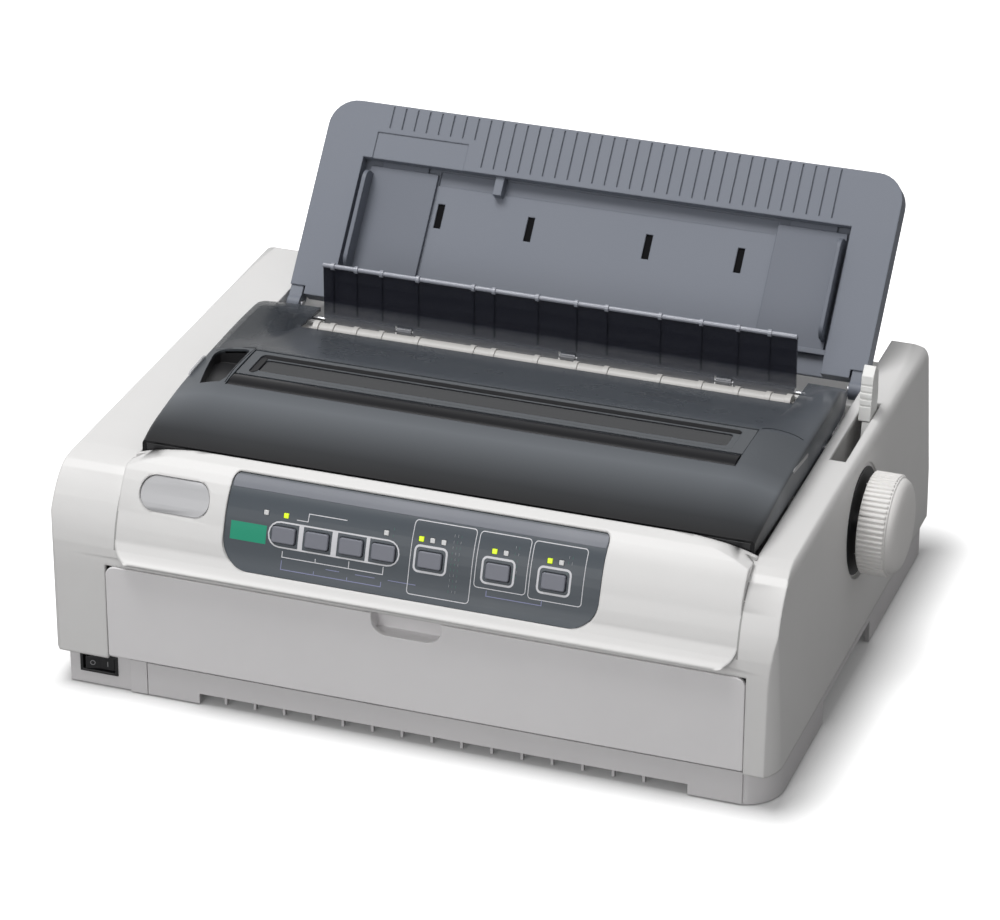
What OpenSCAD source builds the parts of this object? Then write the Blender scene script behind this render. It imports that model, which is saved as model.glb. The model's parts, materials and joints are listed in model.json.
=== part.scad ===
// Narrow desktop dot matrix printer with a smoked top cover and a raised sheet guide.
// Working frame: X from the paper's mid plane, Y back from the front plane, Z up from the table.
// place() then moves every piece so that the origin is the centre of the footprint.

/* [Case] */
// Width over the two side walls of the upper case
case_w = 376; // [372:1:382]
// Depth from the front plane to the rear wall
case_d = 285; // [282:1:292]
// Height of the cheeks at the rear
case_h = 121; // [120.5:0.5:123]
// Wall thickness of the case mouldings
wall = 2.6; // [2.2:0.1:2.8]

/* [Front] */
// Width of the front door
door_w = 327.4; // [320:0.2:328]
// Height of the front door
door_h = 50.4; // [47:0.2:50.6]
// Width of one control button
key_w = 12; // [10:0.5:12.5]

/* [Paper path] */
// Diameter of the platen roller
platen_d = 28; // [26:0.5:28.5]
// Diameter of the platen knob
knob_d = 51.6; // [46:0.2:54]
// Number of grip ribs round the knob
knob_ribs = 60; // [40:2:66]

/* [Sheet guide] */
// Length of the sheet guide along its slope
guide_len = 107.3; // [102:0.1:112]
// Slope of the raised sheet guide above the level, in degrees
guide_tilt = 49.7; // [47:0.1:54]

/* [Hidden] */

$fn = 48;
eps = 0.01;
// gap between pieces that move past each other
play = 0.3;
// radial running clearance of a pin in its hole
run = 0.05;

// --- case limits ---
mid_off = 8;                       // the paper's mid plane lies this far right of the case's middle
case_x0 = -case_w / 2 - mid_off;
case_x1 = case_w / 2 - mid_off;
draft = 3.4;                       // lean of each side wall over the case height
base_x0 = case_x0 + 8.5;
base_x1 = case_x1 - 1.2;
base_d = case_d - 8.4;
base_h = 19;
skirt_z = 0.8;                     // the skirt hangs this far above the table
floor_z = 13.2;
floor_t = 2.4;
bay_x = 158.2;                     // half width of the bay between the cheeks
deck_z = case_h - 17;
deck_y = 227;
rear_lean = 8;
corner_r = 20;
ridge_r = 9;
// --- front ---
front_y = -2.5;
door_z0 = 20.6;
door_z1 = door_z0 + door_h;
door_axis = [-0.2, 22.6];
door_pin_r = 1.05;
scoop_x = [-24, 12];
scoop_z = 60;
sill_x = [-144.5, 163.6];
notch_x = [-116.4, 136];
notch_z = 6.4;
bezel_x = 158.6;
bezel_z0 = 76;
bezel_top = [29.8, case_h + 4.3];
panel_x = [-102.5, 89.2];
panel_z = [81.2, case_h + 1.2];
key_z = case_h - 20.2;
key_h = 8;
key_travel = 0.8;
key_x = [-71.6, -54.4, -36.8, -20.2, 3.6, 37.9, 66];
led_z = case_h - 11.4;
led_x = [-82, -71.7, -20, -2.1, 3.6, 9.3, 35, 40.8, 62.8, 68.6];
badge_x = [-148.5, -112.1];
badge_z = case_h - 12;
badge_r = 7.8;
// --- paper path, as [y, z] of each shaft ---
platen = [149.4, case_h - 39.3];
platen_r = platen_d / 2;
platen_half = 130;
shaft_r = 4;
frame_x = 139.5;
frame_t = 2;
bar = [190.6, case_h - 3.1];
bar_r = 4.6;
exit_axis = [158, case_h - 9];
lever_axis = [168.5, case_h - 51];
flap_axis = [201.6, case_h - 1.4];
tooth_m = 1;
big_teeth = 34;
small_teeth = 12;
tractor_teeth = 24;
gear_x = [-148.5, -143.6];
carriage_axis = [100, case_h - 61];
carriage_r = 5;
carriage_x = -88;
// --- sheet guide, with [s, d] along the slope and out of its face ---
guide_axis = [224, case_h - 6.5];
guide_off = [7.1, 3.8];
guide_x = 157.4;
guide_t = 10;
recess_x = 134;
recess_d = 7.5;
shelf_s = 77;
ring_x = [-119, -106, -92, -72, -41.6, -30.4, -6.8, 14.2, 30.6, 59, 80.8, 100.2, 116.7];
// --- knob and whole size ---
knob_x0 = case_x1 + 1.5;
knob_x1 = case_x1 + 22;
front_min = -7.5;
guide_top = guide_len + guide_off[0];
rear_max = guide_axis[0] + guide_top * cos(guide_tilt) + (guide_t - guide_off[1]) * sin(guide_tilt);
mid_x = (case_x0 + knob_x1) / 2;
mid_y = (front_min + rear_max) / 2;

module place() translate([-mid_x, -mid_y, 0]) children();

// --- helpers ---
// prism along X from an outline in Y and Z
module along_x(a, b) translate([a, 0, 0]) rotate([90, 0, 90]) linear_extrude(b - a) children();
// prism along Y from an outline in X and Z
module along_y(a, b) translate([0, b, 0]) rotate([90, 0, 0]) linear_extrude(b - a) children();
module along_z(a, b) translate([0, 0, a]) linear_extrude(b - a) children();
module block(a, b) translate(a) cube(b - a);
// rod along X at [y, z]
module rod(c, r, a, b) translate([a, c[0], c[1]]) rotate([0, 90, 0]) cylinder(r = r, h = b - a);
module post(p, r, a, b) translate([p[0], p[1], a]) cylinder(r = r, h = b - a);
// rectangle whose corners have their own radii, from the low corner counterclockwise
module corner_rect(a, b, r) {
    polygon([[a[0] + r[0], a[1]], [b[0] - r[1], a[1]], [b[0], a[1] + r[1]], [b[0], b[1] - r[2]],
        [b[0] - r[2], b[1]], [a[0] + r[3], b[1]], [a[0], b[1] - r[3]], [a[0], a[1] + r[0]]]);
    translate([a[0] + r[0], a[1] + r[0]]) circle(r[0]);
    translate([b[0] - r[1], a[1] + r[1]]) circle(r[1]);
    translate([b[0] - r[2], b[1] - r[2]]) circle(r[2]);
    translate([a[0] + r[3], b[1] - r[3]]) circle(r[3]);
}
module round_rect(a, b, r) corner_rect(a, b, [r, r, r, r]);

function bezier(a, b, c, d, n) = [for (i = [0:n]) let (t = i / n, u = 1 - t)
    u * u * u * a + 3 * u * u * t * b + 3 * u * t * t * c + t * t * t * d];
function rev(p) = [for (i = [len(p) - 1:-1:0]) p[i]];
function unit(v) = v / norm(v);
// direction to the right of the path p at point i
function side_dir(p, i) = let (v = unit(p[min(i + 1, len(p) - 1)] - p[max(i - 1, 0)])) [v[1], -v[0]];
function inset(p, d) = [for (i = [0:len(p) - 1]) p[i] + d * side_dir(p, i)];
// band between two depths under the path p
function band(p, d0, d1) = concat(inset(p, d0), rev(inset(p, d1)));
function polar(c, r, a) = [c[0] + r * cos(a), c[1] + r * sin(a)];
// meeting point of two circles, on the right of the line from a to b
function meet(a, ra, b, rb) = let (d = norm(b - a), t = (ra * ra - rb * rb + d * d) / (2 * d),
    h = sqrt(max(ra * ra - t * t, 0)), u = (b - a) / d) a + t * u + h * [u[1], -u[0]];
function heading(a, b) = atan2(b[1] - a[1], b[0] - a[0]);
function pitch_r(n) = n * tooth_m / 2;

// spur gear blank in Y and Z, with a tooth that points at the angle a
module gear_outline(n, a) {
    r0 = pitch_r(n) - 1.05 * tooth_m;
    r1 = pitch_r(n) + 0.75 * tooth_m;
    step = 360 / n;
    polygon([for (i = [0:n - 1], k = [[r0, -0.36], [r1, -0.12], [r1, 0.12], [r0, 0.36]])
        polar([0, 0], k[0], a + step * (i + k[1]))]);
}
module gear(c, n, a, x) along_x(x[0], x[1]) translate(c) gear_outline(n, a);

// --- gear train ---
big_r = pitch_r(big_teeth);
small_r = pitch_r(small_teeth);
idler = meet(platen, 2 * big_r, bar, big_r + small_r);
tractor_idler_c = polar(platen, 2 * big_r, -60);
tractor_c = polar(tractor_idler_c, big_r + pitch_r(tractor_teeth), 20);
pinion = polar(platen, big_r + small_r, -120);
// angle at which a driven gear needs a tooth so that it meshes with a driver whose tooth points at a
function mesh_angle(a, n, driven, way) = way + 180 + 180 / driven - (a - way) * n / driven;
idler_a = mesh_angle(0, big_teeth, big_teeth, heading(platen, idler));
bar_a = mesh_angle(idler_a, big_teeth, small_teeth, heading(idler, bar));
tractor_idler_a = mesh_angle(0, big_teeth, big_teeth, -60);
tractor_a = mesh_angle(tractor_idler_a, big_teeth, tractor_teeth, 20);
pinion_a = mesh_angle(0, big_teeth, small_teeth, -120);

// --- case outlines ---
shoulder = [20, case_h - 5.7];
cheek_front = bezier([front_y + 0.5, 66], [-1.4, case_h - 29], [6, case_h - 14], shoulder, 10);
cheek_top = [[26, case_h - 4.1], [34, case_h - 3.2], [case_d - rear_lean - 3, case_h],
    [case_d - rear_lean, case_h - 3]];
case_side = concat([[front_y, base_h]], cheek_front, cheek_top, [[case_d, base_h]]);
bezel_side = bezier([front_min, bezel_z0], [7.5, bezel_z0 + 8], [-0.5, case_h - 3], bezel_top, 14);
bezel_table = [for (p = bezel_side) [p[1], p[0]]];
function bezel_y(z) = lookup(z, bezel_table);
function bezel_slope(z) = atan2(1, bezel_y(z + 0.5) - bezel_y(z - 0.5));

// puts children on the bezel at x and z, with their Z out of the surface and Y up it
module on_bezel(x, z) translate([x, bezel_y(z), z]) rotate([bezel_slope(z), 0, 0]) children();

module case_plan(g) corner_rect([case_x0 + g, front_min - 1 + g], [case_x1 - g, case_d + 1 - g],
    [corner_r - g, corner_r - g, 6 - g, 6 - g]);
module case_face(g) {
    low = case_x0 + g;
    high = case_x1 - g;
    lean = draft - ridge_r * 0.1;
    top = case_h - g;
    r = ridge_r - g;
    polygon([[low, 0], [high, 0], [high, base_h], [high - lean, top - r], [high - lean - r, top],
        [low + lean + r, top], [low + lean, top - r], [low, base_h]]);
    translate([low + lean + r, top - r]) circle(r);
    translate([high - lean - r, top - r]) circle(r);
}
module case_body(g) intersection() {
    along_x(case_x0, case_x1) polygon(g == 0 ? case_side : inset(case_side, g));
    along_z(0, 2 * case_h) case_plan(g);
    along_y(front_min, case_d + 1) case_face(g);
}

// --- base ---
module base_plan(g) corner_rect([base_x0 + g, g], [base_x1 - g, base_d - g],
    [4 - g / 2, corner_r - g, 6 - g, 6 - g]);
switch_d = 17;
screw_r = 1.5;
case_screw_at = [for (x = [base_x0 + 12, base_x1 - 12], y = [60, 200]) [x, y]];
frame_screw_at = [for (x = [-frame_x - 6, frame_x + 6], y = [66, 116]) [x, y]];
foot_at = [[base_x0 + 22, 32], [base_x1 - 26, 32], [base_x1 - 22, base_d - 26], [base_x0 + 22, base_d - 26]];
side_notch = [86, 172];
switch_box = [[-181, 7.4], [-160.6, 18]];
rear_wall = case_d - 1.2;
// outlines of the rear sockets: left, low, right and high
wide_port = [-99, 24.3, -41, 44];
small_port = [-23, 24.3, -11, 36];
inlet = [120.6, 24.6, 148.4, 47.4];
panel_d = [0.5, 2.3];

module base_tray() color([0.83, 0.83, 0.84]) place() {
    difference() {
        along_z(skirt_z, base_h) base_plan(0);
        along_z(skirt_z - 1, floor_z) base_plan(wall);
        along_z(floor_z + floor_t, base_h + 1) base_plan(wall);
        block([base_x0 - 1, side_notch[0], 0], [base_x1 + 1, side_notch[1], floor_z - 0.3]);
        block([sill_x[0], -1, 0], [sill_x[1], wall, base_h + 1]);
        block([base_x0 - 1, -1, 0], [sill_x[0] - 9, 1.2, base_h + 1]);
        block([switch_box[0][0], -1, switch_box[0][1]], [switch_box[1][0], switch_d, switch_box[1][1]]);
        for (p = case_screw_at) post(p, screw_r, floor_z - 1, floor_z + floor_t + 1);
        for (p = frame_screw_at) post(p, screw_r, floor_z - 1, floor_z + floor_t + 1);
        block([notch_x[0] + 3, 0, 0], [notch_x[1] - 3, 8, notch_z]);
        for (p = foot_at) post(p, 2.5, 2, floor_z + 3);
    }
    block([sill_x[0] - 1, wall, notch_z], [sill_x[1] + 1, 2 * wall, base_h]);
    for (x = [notch_x[0] + 12:15.5:notch_x[1] - 8])
        block([x, wall + 0.4, skirt_z + 0.4], [x + 1.4, 2 * wall, notch_z + 0.2]);
    for (p = foot_at) difference() {
        post(p, 11, 3, floor_z + 0.1);
        post(p, 2.5, 2, floor_z + 3);
    }
}

module lower_front_panel() color([0.8, 0.8, 0.81]) place()
    along_y(0, wall) difference() {
        polygon([[sill_x[0] + 0.25, skirt_z], [sill_x[1] - 0.25, skirt_z],
            [sill_x[1] - 0.25, base_h - 0.4], [sill_x[0] + 0.25, base_h - 0.4]]);
        translate([notch_x[0], 0]) square([notch_x[1] - notch_x[0], notch_z]);
    }

module rubber_feet() color([0.1, 0.1, 0.1]) place() for (p = foot_at) {
    post(p, 9, 0, 3);
    post(p, 2.4, 3 - eps, floor_z + 1);
}

// --- upper case ---
bay = [[31.4, deck_z], [31.4, 200], [400, 200], [400, deck_z]];
lever_slot = [[163.5, 137], [171.8, 203]];

module upper_case() color([0.9, 0.9, 0.9]) place() {
    difference() {
        union() {
            difference() {
                case_body(0);
                case_body(wall);
                along_x(-bay_x, bay_x) polygon(bay);
            }
            // inner walls of the cheeks
            for (s = [-1, 1]) intersection() {
                case_body(0.5);
                block([min(s * bay_x, s * (bay_x + wall)), 29, 80],
                    [max(s * bay_x, s * (bay_x + wall)), case_d, 200]);
            }
            // rear deck and the rail that carries its front edge
            block([-bay_x - 1, deck_y, deck_z - wall], [bay_x + 1, rear_wall - 3, deck_z]);
            block([-bay_x - 1, deck_y, deck_z - 9], [bay_x + 1, deck_y + 2, deck_z - wall + eps]);
            // flange that rests on the base, and the bosses of the case screws
            difference() {
                intersection() {
                    case_body(0);
                    block([-300, -10, base_h], [300, 400, base_h + 2.4]);
                }
                along_z(base_h - 1, base_h + 4) base_plan(wall + 1);
            }
            for (p = case_screw_at) intersection() {
                case_body(0.5);
                union() {
                    post(p, 4, floor_z + floor_t, 34);
                    block([min(p[0], sign(p[0]) * 300), p[1] - 1.2, base_h + 2],
                        [max(p[0], sign(p[0]) * 300), p[1] + 1.2, 34]);
                }
            }
            // blocks that hold the door's pins
            for (s = [-1, 1]) block([min(s * door_w / 2 + s * play, s * (door_w / 2 + 4.5)), -2, base_h],
                [max(s * door_w / 2 + s * play, s * (door_w / 2 + 4.5)), wall, base_h + 8]);
            // raised bezel and its back wall
            intersection() {
                along_x(-bezel_x, bezel_x) polygon(band(bezel_side, 0, 4.6));
                along_y(-20, 60) round_rect([-bezel_x, bezel_z0], [bezel_x, case_h + 30], 9);
            }
            block([-bezel_x, 28.6, case_h - 23], [bezel_x, 31.2, bezel_top[1] - 0.6]);
        }
        for (p = case_screw_at) post(p, screw_r, floor_z, 29);
        // opening of the front door
        block([-door_w / 2 - play, -10, base_h - 1], [door_w / 2 + play, wall + 2, door_z1 + play]);
        for (s = [-1, 1])
            rod(door_axis, door_pin_r + run, s * door_w / 2 - 2.4, s * door_w / 2 + 2.4);
        // opening behind the control panel, and the badge's seat
        along_y(-20, 60) corner_rect([panel_x[0] + 3, panel_z[0] + 3], [panel_x[1] - 3, panel_z[1] - 5],
            [11, 11, 2, 2]);
        intersection() {
            along_x(panel_x[0] - play, panel_x[1] + play) polygon(band(bezel_side, -2, panel_d[1]));
            along_y(-20, 60) corner_rect([panel_x[0] - play, panel_z[0] - play],
                [panel_x[1] + play, panel_z[1] + play], [14, 14, 3, 3]);
        }
        intersection() {
            along_x(badge_x[0] - 1, badge_x[1] + 1) polygon(band(bezel_side, -2, 2));
            along_y(-20, 60) round_rect([badge_x[0] - 0.4, badge_z - badge_r - 0.4],
                [badge_x[1] + 0.4, badge_z + badge_r + 0.4], badge_r);
        }
        // paper lever slot, knob hole and the shallow ring round it
        block([lever_slot[0][0], lever_slot[0][1], 100], [lever_slot[1][0], lever_slot[1][1], 200]);
        rod(platen, 6, bay_x - 1, case_x1 + 5);
        rod(platen, knob_d / 2 + 3.4, case_x1 - 2.9, case_x1 + 5);
        // rear slot for folded paper, ports and the mains inlet
        block([-132, rear_wall - 20, case_h - 37], [132, case_d + 5, case_h - 21]);
        for (p = [wide_port, small_port, inlet]) block([p[0], rear_wall - 9, p[1]], [p[2], case_d + 5, p[3]]);
    }
}

board_d = -9.2;
// place of the light pipes on the board: up the panel, and out to its surface
led_step = [bezel_y(led_z) - bezel_y(key_z), led_z - key_z];
led_at = [led_step * [cos(bezel_slope(key_z)), sin(bezel_slope(key_z))],
    led_step * [-sin(bezel_slope(key_z)), cos(bezel_slope(key_z))]];
module control_panel() color([0.24, 0.28, 0.32]) place() difference() {
    intersection() {
        along_x(panel_x[0], panel_x[1]) polygon(band(bezel_side, panel_d[0], panel_d[1]));
        along_y(-20, 60) corner_rect([panel_x[0], panel_z[0]], [panel_x[1], panel_z[1]], [14, 14, 3, 3]);
    }
    for (x = key_x) on_bezel(x, key_z) along_z(-6, 3)
        round_rect([-key_w / 2 - play, -key_h / 2 - play], [key_w / 2 + play, key_h / 2 + play], 1.4);
    for (x = led_x) on_bezel(x, key_z) block([-1.3, led_at[0] - 1.3, -12], [1.3, led_at[0] + 1.3, 3]);
}

// light pipes that stand on the board and end flush with the panel
module led_lenses() color([0.75, 0.85, 0.2]) place() for (x = led_x) on_bezel(x, key_z)
    block([-1.2, led_at[0] - 1.2, board_d], [1.2, led_at[0] + 1.2, led_at[1] - 0.3]);

module panel_board() color([0.1, 0.35, 0.2]) place() {
    translate([0, bezel_y(key_z), key_z]) rotate([bezel_slope(key_z), 0, 0]) {
        block([panel_x[0] + 8, -10, board_d - 1.6], [panel_x[1] - 8, 12, board_d]);
        for (x = key_x) block([x - 3, -3, board_d - eps], [x + 3, 3, -8]);
        for (x = [-88, -8.6, 21, 52, 80]) post([x, 0], 1.6, board_d - eps, -panel_d[1] - 0.04);
    }
}

module badge_plate() color([0.75, 0.75, 0.77]) place() intersection() {
    along_x(badge_x[0], badge_x[1]) polygon(band(bezel_side, 0.7, 2));
    along_y(-20, 60) round_rect([badge_x[0], badge_z - badge_r], [badge_x[1], badge_z + badge_r], badge_r);
}

// --- frame and drives ---
frame_z = floor_z + floor_t;
frame_y1 = case_d - 26;
frame_side = [[52, frame_z], [frame_y1, frame_z], [frame_y1, case_h - 61], [214, case_h - 29],
    [204.2, deck_z], flap_axis + [2.6, 0.2], flap_axis + [-3.6, 2.6], bar + [-4.6, 5.1], bar + [-6.6, -5.9],
    exit_axis + [-68, 0], carriage_axis + [-48, 10]];
tractor_rod = tractor_c + [24, 0];
tractor_rod_r = 2.5;
bush_r = shaft_r + 3;

module side_frame(a) color([0.7, 0.71, 0.73]) place() difference() {
    union() {
        along_x(a, a + frame_t) polygon(frame_side);
        for (y = [66, 116]) block([min(a + frame_t / 2, a + frame_t / 2 + sign(a) * 11), y - 6, frame_z],
            [max(a + frame_t / 2, a + frame_t / 2 + sign(a) * 11), y + 6, frame_z + 2]);
    }
    for (p = frame_screw_at) post(p, screw_r, frame_z - 1, frame_z + 3);
    rod(tractor_rod, tractor_rod_r, a - 1, a + frame_t + 1);
    rod(platen, bush_r, a - 1, a + frame_t + 1);
    rod(bar, 2 + run, a - 1, a + frame_t + 1);
    rod(exit_axis, 2 + run, a - 1, a + frame_t + 1);
    rod(carriage_axis, carriage_r, a - 1, a + frame_t + 1);
    rod(tractor_c, 4 + run, a - 1, a + frame_t + 1);
    along_x(a - 1, a + frame_t + 1) round_rect([66, 24], [90, 50], 4);
    along_x(a - 1, a + frame_t + 1) round_rect([frame_y1 - 47, 26], [frame_y1 - 12, 46], 4);
}
module left_side_frame() side_frame(-frame_x - frame_t);
module right_side_frame() side_frame(frame_x);

module guide_shafts() color([0.8, 0.8, 0.82]) place() {
    rod(carriage_axis, carriage_r, -frame_x - frame_t - 1, frame_x + frame_t + 1);
    rod(tractor_rod, tractor_rod_r, -frame_x - frame_t - 1, frame_x + frame_t + 1);
}

belt_y = 72;
belt_z = carriage_axis[1] - 18;
pulley_r = 7.5;
pulley_x = [-118, 118];
module carriage_belt() color([0.08, 0.08, 0.08]) place() along_z(belt_z - 3, belt_z + 3) difference() {
    round_rect([pulley_x[0] - pulley_r - 1.5, belt_y - pulley_r - 1.5],
        [pulley_x[1] + pulley_r + 1.5, belt_y + pulley_r + 1.5], pulley_r + 1.5);
    round_rect([pulley_x[0] - pulley_r - 0.3, belt_y - pulley_r - 0.3],
        [pulley_x[1] + pulley_r + 0.3, belt_y + pulley_r + 0.3], pulley_r + 0.3);
}
module pulley(x, low) place() {
    post([x, belt_y], pulley_r, belt_z - 3.4, belt_z + 3.4);
    post([x, belt_y], pulley_r + 2, belt_z + 3.4 - eps, belt_z + 4.8);
    post([x, belt_y], 2.5, low, belt_z + 4.8);
}
module drive_pulley() color([0.75, 0.7, 0.5]) pulley(pulley_x[0], belt_z - 12);
module idler_pulley() color([0.9, 0.9, 0.88]) difference() {
    pulley(pulley_x[1], belt_z - 3.4);
    place() post([pulley_x[1], belt_y], 2 + run, belt_z - 22, belt_z + 18);
}
// can of the carriage motor, and the post of the idler pulley
module carriage_motor() color([0.35, 0.36, 0.38]) place() {
    difference() {
        post([pulley_x[0], belt_y], 20, floor_z + floor_t, belt_z - 7);
        post([pulley_x[0], belt_y], 2.5 + run, belt_z - 17, belt_z - 6);
    }
    difference() {
        block([pulley_x[0] - 21, belt_y - 21, belt_z - 8], [pulley_x[0] + 21, belt_y + 21, belt_z - 6.4]);
        post([pulley_x[0], belt_y], 2.5 + run, belt_z - 17, belt_z - 6);
    }
    post([pulley_x[1], belt_y], 2, floor_z + floor_t, belt_z + 7);
    post([pulley_x[1], belt_y], 6, floor_z + floor_t, belt_z - 4);
}

bracket_x = -151.6;
// hinge of the cover, well under its two rear wings
cover_axis = [200, case_h - 5];
hinge_pin_r = 1.5;
// radius of the fixed bearings, inside the sweep of the cover's side walls
bearing_r = hinge_pin_r + 1.2;
module line_feed_motor() color([0.35, 0.36, 0.38]) place() {
    rod(pinion, 16, bracket_x - 24, bracket_x - frame_t);
    along_x(bracket_x - frame_t - 1.2, bracket_x - frame_t) translate(pinion) difference() {
        round_rect([-21, -16], [21, 16], 5);
        circle(6);
    }
}
module gear_bracket() color([0.7, 0.71, 0.73]) place() {
    difference() {
        along_x(bracket_x - frame_t, bracket_x) union() {
            polygon([[112, 36], [196, 36], [203, deck_z], cover_axis + [2.4, 0], cover_axis + [0, 2.6],
                cover_axis + [-5.4, 2.6], bar + [2.4, 2.1], bar + [-3.6, 3.5], exit_axis + [2, -4],
                platen + [-25.4, 2.3], platen + [-37.4, -1.7]]);
            translate(cover_axis) circle(bearing_r);
        }
        rod(pinion, 6, bracket_x - 4, bracket_x + 1);
        rod(platen, 6, bracket_x - 4, bracket_x + 1);
        rod(bar, 2 + run, bracket_x - 4, bracket_x + 1);
        rod(cover_axis, hinge_pin_r + run, bracket_x - 4, bracket_x + 1);
        rod(tractor_c, 4.2, bracket_x - 4, bracket_x + 1);
        // thin upper edge, clear of the cover's side wall
        block([bracket_x - 4, 180, cover_low - 0.4], [bracket_x - 1.2, 210, cover_low + 10]);
    }
    for (c = [[116, 44], [190, 42], [199, 86]]) rod(c, 3, bracket_x - eps, -frame_x - frame_t);
    for (c = [idler, tractor_idler_c]) rod(c, 2, bracket_x - eps, -frame_x - frame_t);
}

module platen_bushings() color([0.85, 0.83, 0.75]) place() for (s = [-1, 1]) difference() {
    union() {
        rod(platen, bush_r, s * (frame_x + 1) - 1, s * (frame_x + 1) + 1);
        rod(platen, bush_r + 2, s * (frame_x - 1) - 1, s * (frame_x - 1) + 1);
    }
    rod(platen, shaft_r + run, s * frame_x - 5, s * frame_x + 5);
}

chute_r = platen_r + 2.4;
module paper_chute() color([0.25, 0.26, 0.28]) place() difference() {
    rod(platen, chute_r + 1.6, -frame_x, frame_x);
    rod(platen, chute_r, -frame_x - 1, frame_x + 1);
    block([-frame_x - 1, platen[0] - 30, platen[1] - 5], [frame_x + 1, platen[0] + 30, platen[1] + 40]);
}

tear_y = [151.4, 152.8];
module tear_bar() color([0.12, 0.12, 0.13]) place() {
    block([-frame_x, tear_y[0], deck_z], [frame_x, tear_y[1], case_h + 1]);
    for (x = [-114:4:112]) along_y(tear_y[0], tear_y[1])
        polygon([[x, case_h + 1 - eps], [x + 4, case_h + 1 - eps], [x + 2, case_h + 3]]);
}

board_z = floor_z + floor_t + 3;
board_t = 1.6;
// front and rear edges of the board, and of the supply
board_y = [case_d - 113, case_d - 13];
supply_y = [case_d - 85, case_d - 24];
supply_top = 44;
module main_board() color([0.1, 0.35, 0.2]) place() {
    block([-134, board_y[0], board_z], [60, board_y[1], board_z + board_t]);
    for (x = [-128, 54], y = [6, 68]) post([x, board_y[0] + y], 3, floor_z + floor_t, board_z + eps);
    for (c = [[-100, 24], [-60, 18], [-20, 28], [24, 16]]) translate([c[0], board_y[0] + c[1], 0])
        block([0, 0, board_z + board_t - eps], [22, 16, board_z + 5]);
    for (x = [-110:16:34]) post([x, board_y[0] + 68], 5, board_z + board_t - eps, board_z + 14);
}
module power_supply() color([0.55, 0.55, 0.56]) place() {
    block([66, supply_y[0], floor_z + floor_t], [132, supply_y[1], supply_top]);
    for (y = [supply_y[0] + 6:9:supply_y[1] - 5]) block([78, y, supply_top - eps], [120, y + 4, supply_top + 3]);
}
module socket(p, front, rim) difference() {
    union() {
        block([p[0], front, p[1]], [p[2], rear_wall, p[3]]);
        block([p[0], front, board_z + board_t], [p[2], front + 3, p[1] + eps]);
    }
    block([p[0] + rim, rear_wall - 8, p[1] + rim], [p[2] - rim, rear_wall + 1, p[3] - rim]);
}
port_z = (wide_port[1] + wide_port[3]) / 2;
module interface_ports() color([0.2, 0.2, 0.22]) place() {
    // contact tongue of the wide port, and contact comb of the small one
    socket(wide_port, rear_wall - 14, 3);
    block([wide_port[0] + 9, rear_wall - 9, port_z - 1.2], [wide_port[2] - 9, rear_wall - 1, port_z + 1.2]);
    socket(small_port, rear_wall - 14, 2.4);
    block([small_port[0] + 4, rear_wall - 9, small_port[3] - 3.6],
        [small_port[2] - 4, rear_wall - 4, small_port[3] - 2.4 + eps]);
}
inlet_c = [(inlet[0] + inlet[2]) / 2, (inlet[1] + inlet[3]) / 2];
module power_inlet() color([0.08, 0.08, 0.08]) place() {
    difference() {
        block([inlet[0], rear_wall - 21, inlet[1]], [inlet[2], rear_wall, inlet[3]]);
        along_y(rear_wall - 18, rear_wall + 1)
            round_rect([inlet[0] + 2, inlet[1] + 1.8], [inlet[2] - 2, inlet[3] - 1.8], 3);
    }
    for (p = [[-7, -3], [0, 3.5], [7, -3]]) block([inlet_c[0] + p[0] - 1, rear_wall - 20, inlet_c[1] + p[1] - 2.5],
        [inlet_c[0] + p[0] + 1, rear_wall - 5, inlet_c[1] + p[1] + 2.5]);
}
rocker_c = [(switch_box[0][0] + switch_box[1][0]) / 2, 5.4];
module switch_housing() color([0.06, 0.06, 0.06]) place() difference() {
    block([switch_box[0][0], 0.4, switch_box[0][1]], [switch_box[1][0], switch_d, switch_box[1][1]]);
    block([switch_box[0][0] + 1.6, 0, switch_box[0][1] + 1.4], [switch_box[1][0] - 1.6, 12, switch_box[1][1] - 1.4]);
    post(rocker_c, 1 + run, switch_box[0][1] + 0.4, switch_box[1][1] - 0.4);
}
// the rocker turns about an upright axis
rocker_lean = 6;
module power_rocker() color([0.06, 0.06, 0.06]) place() translate([rocker_c[0], rocker_c[1], 0])
    rotate([0, 0, rocker_lean]) {
        along_z(switch_box[0][1] + 1.8, switch_box[1][1] - 1.8)
            polygon([[-7.6, -4.6], [0, -3.6], [7.6, -4.6], [7.6, 0.4], [3, 4], [-3, 4], [-7.6, 0.4]]);
        post([0, 0], 1, switch_box[0][1] + 0.6, switch_box[1][1] - 0.6);
    }

// fixed pins of the sheet guide, flap and lever, and the right bearing of the cover
guide_pin_r = 2.5;
module pivot_pins() color([0.75, 0.75, 0.77]) place() {
    difference() {
        along_x(-bracket_x, -bracket_x + frame_t) {
            polygon([cover_axis - [22, 20], cover_axis + [3, -20], cover_axis + [2.4, 0], cover_axis - [3, 0]]);
            translate(cover_axis) circle(bearing_r);
        }
        rod(cover_axis, hinge_pin_r + run, -bracket_x - 1, -bracket_x + frame_t + 1);
    }
    for (c = [[-14, -17.4], [-1, -16]]) rod(cover_axis + c, 2.5, frame_x + frame_t, -bracket_x + eps);
    for (s = [-1, 1]) rod(guide_axis, guide_pin_r, min(s * 149, s * bay_x), max(s * 149, s * bay_x));
    rod(flap_axis, 1, -frame_x, frame_x);
    rod(lever_axis, 3, 161, case_x1 - wall - 2);
    block([162, 160, frame_z], [164.2, 176, lever_axis[1] + 6]);
}

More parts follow.
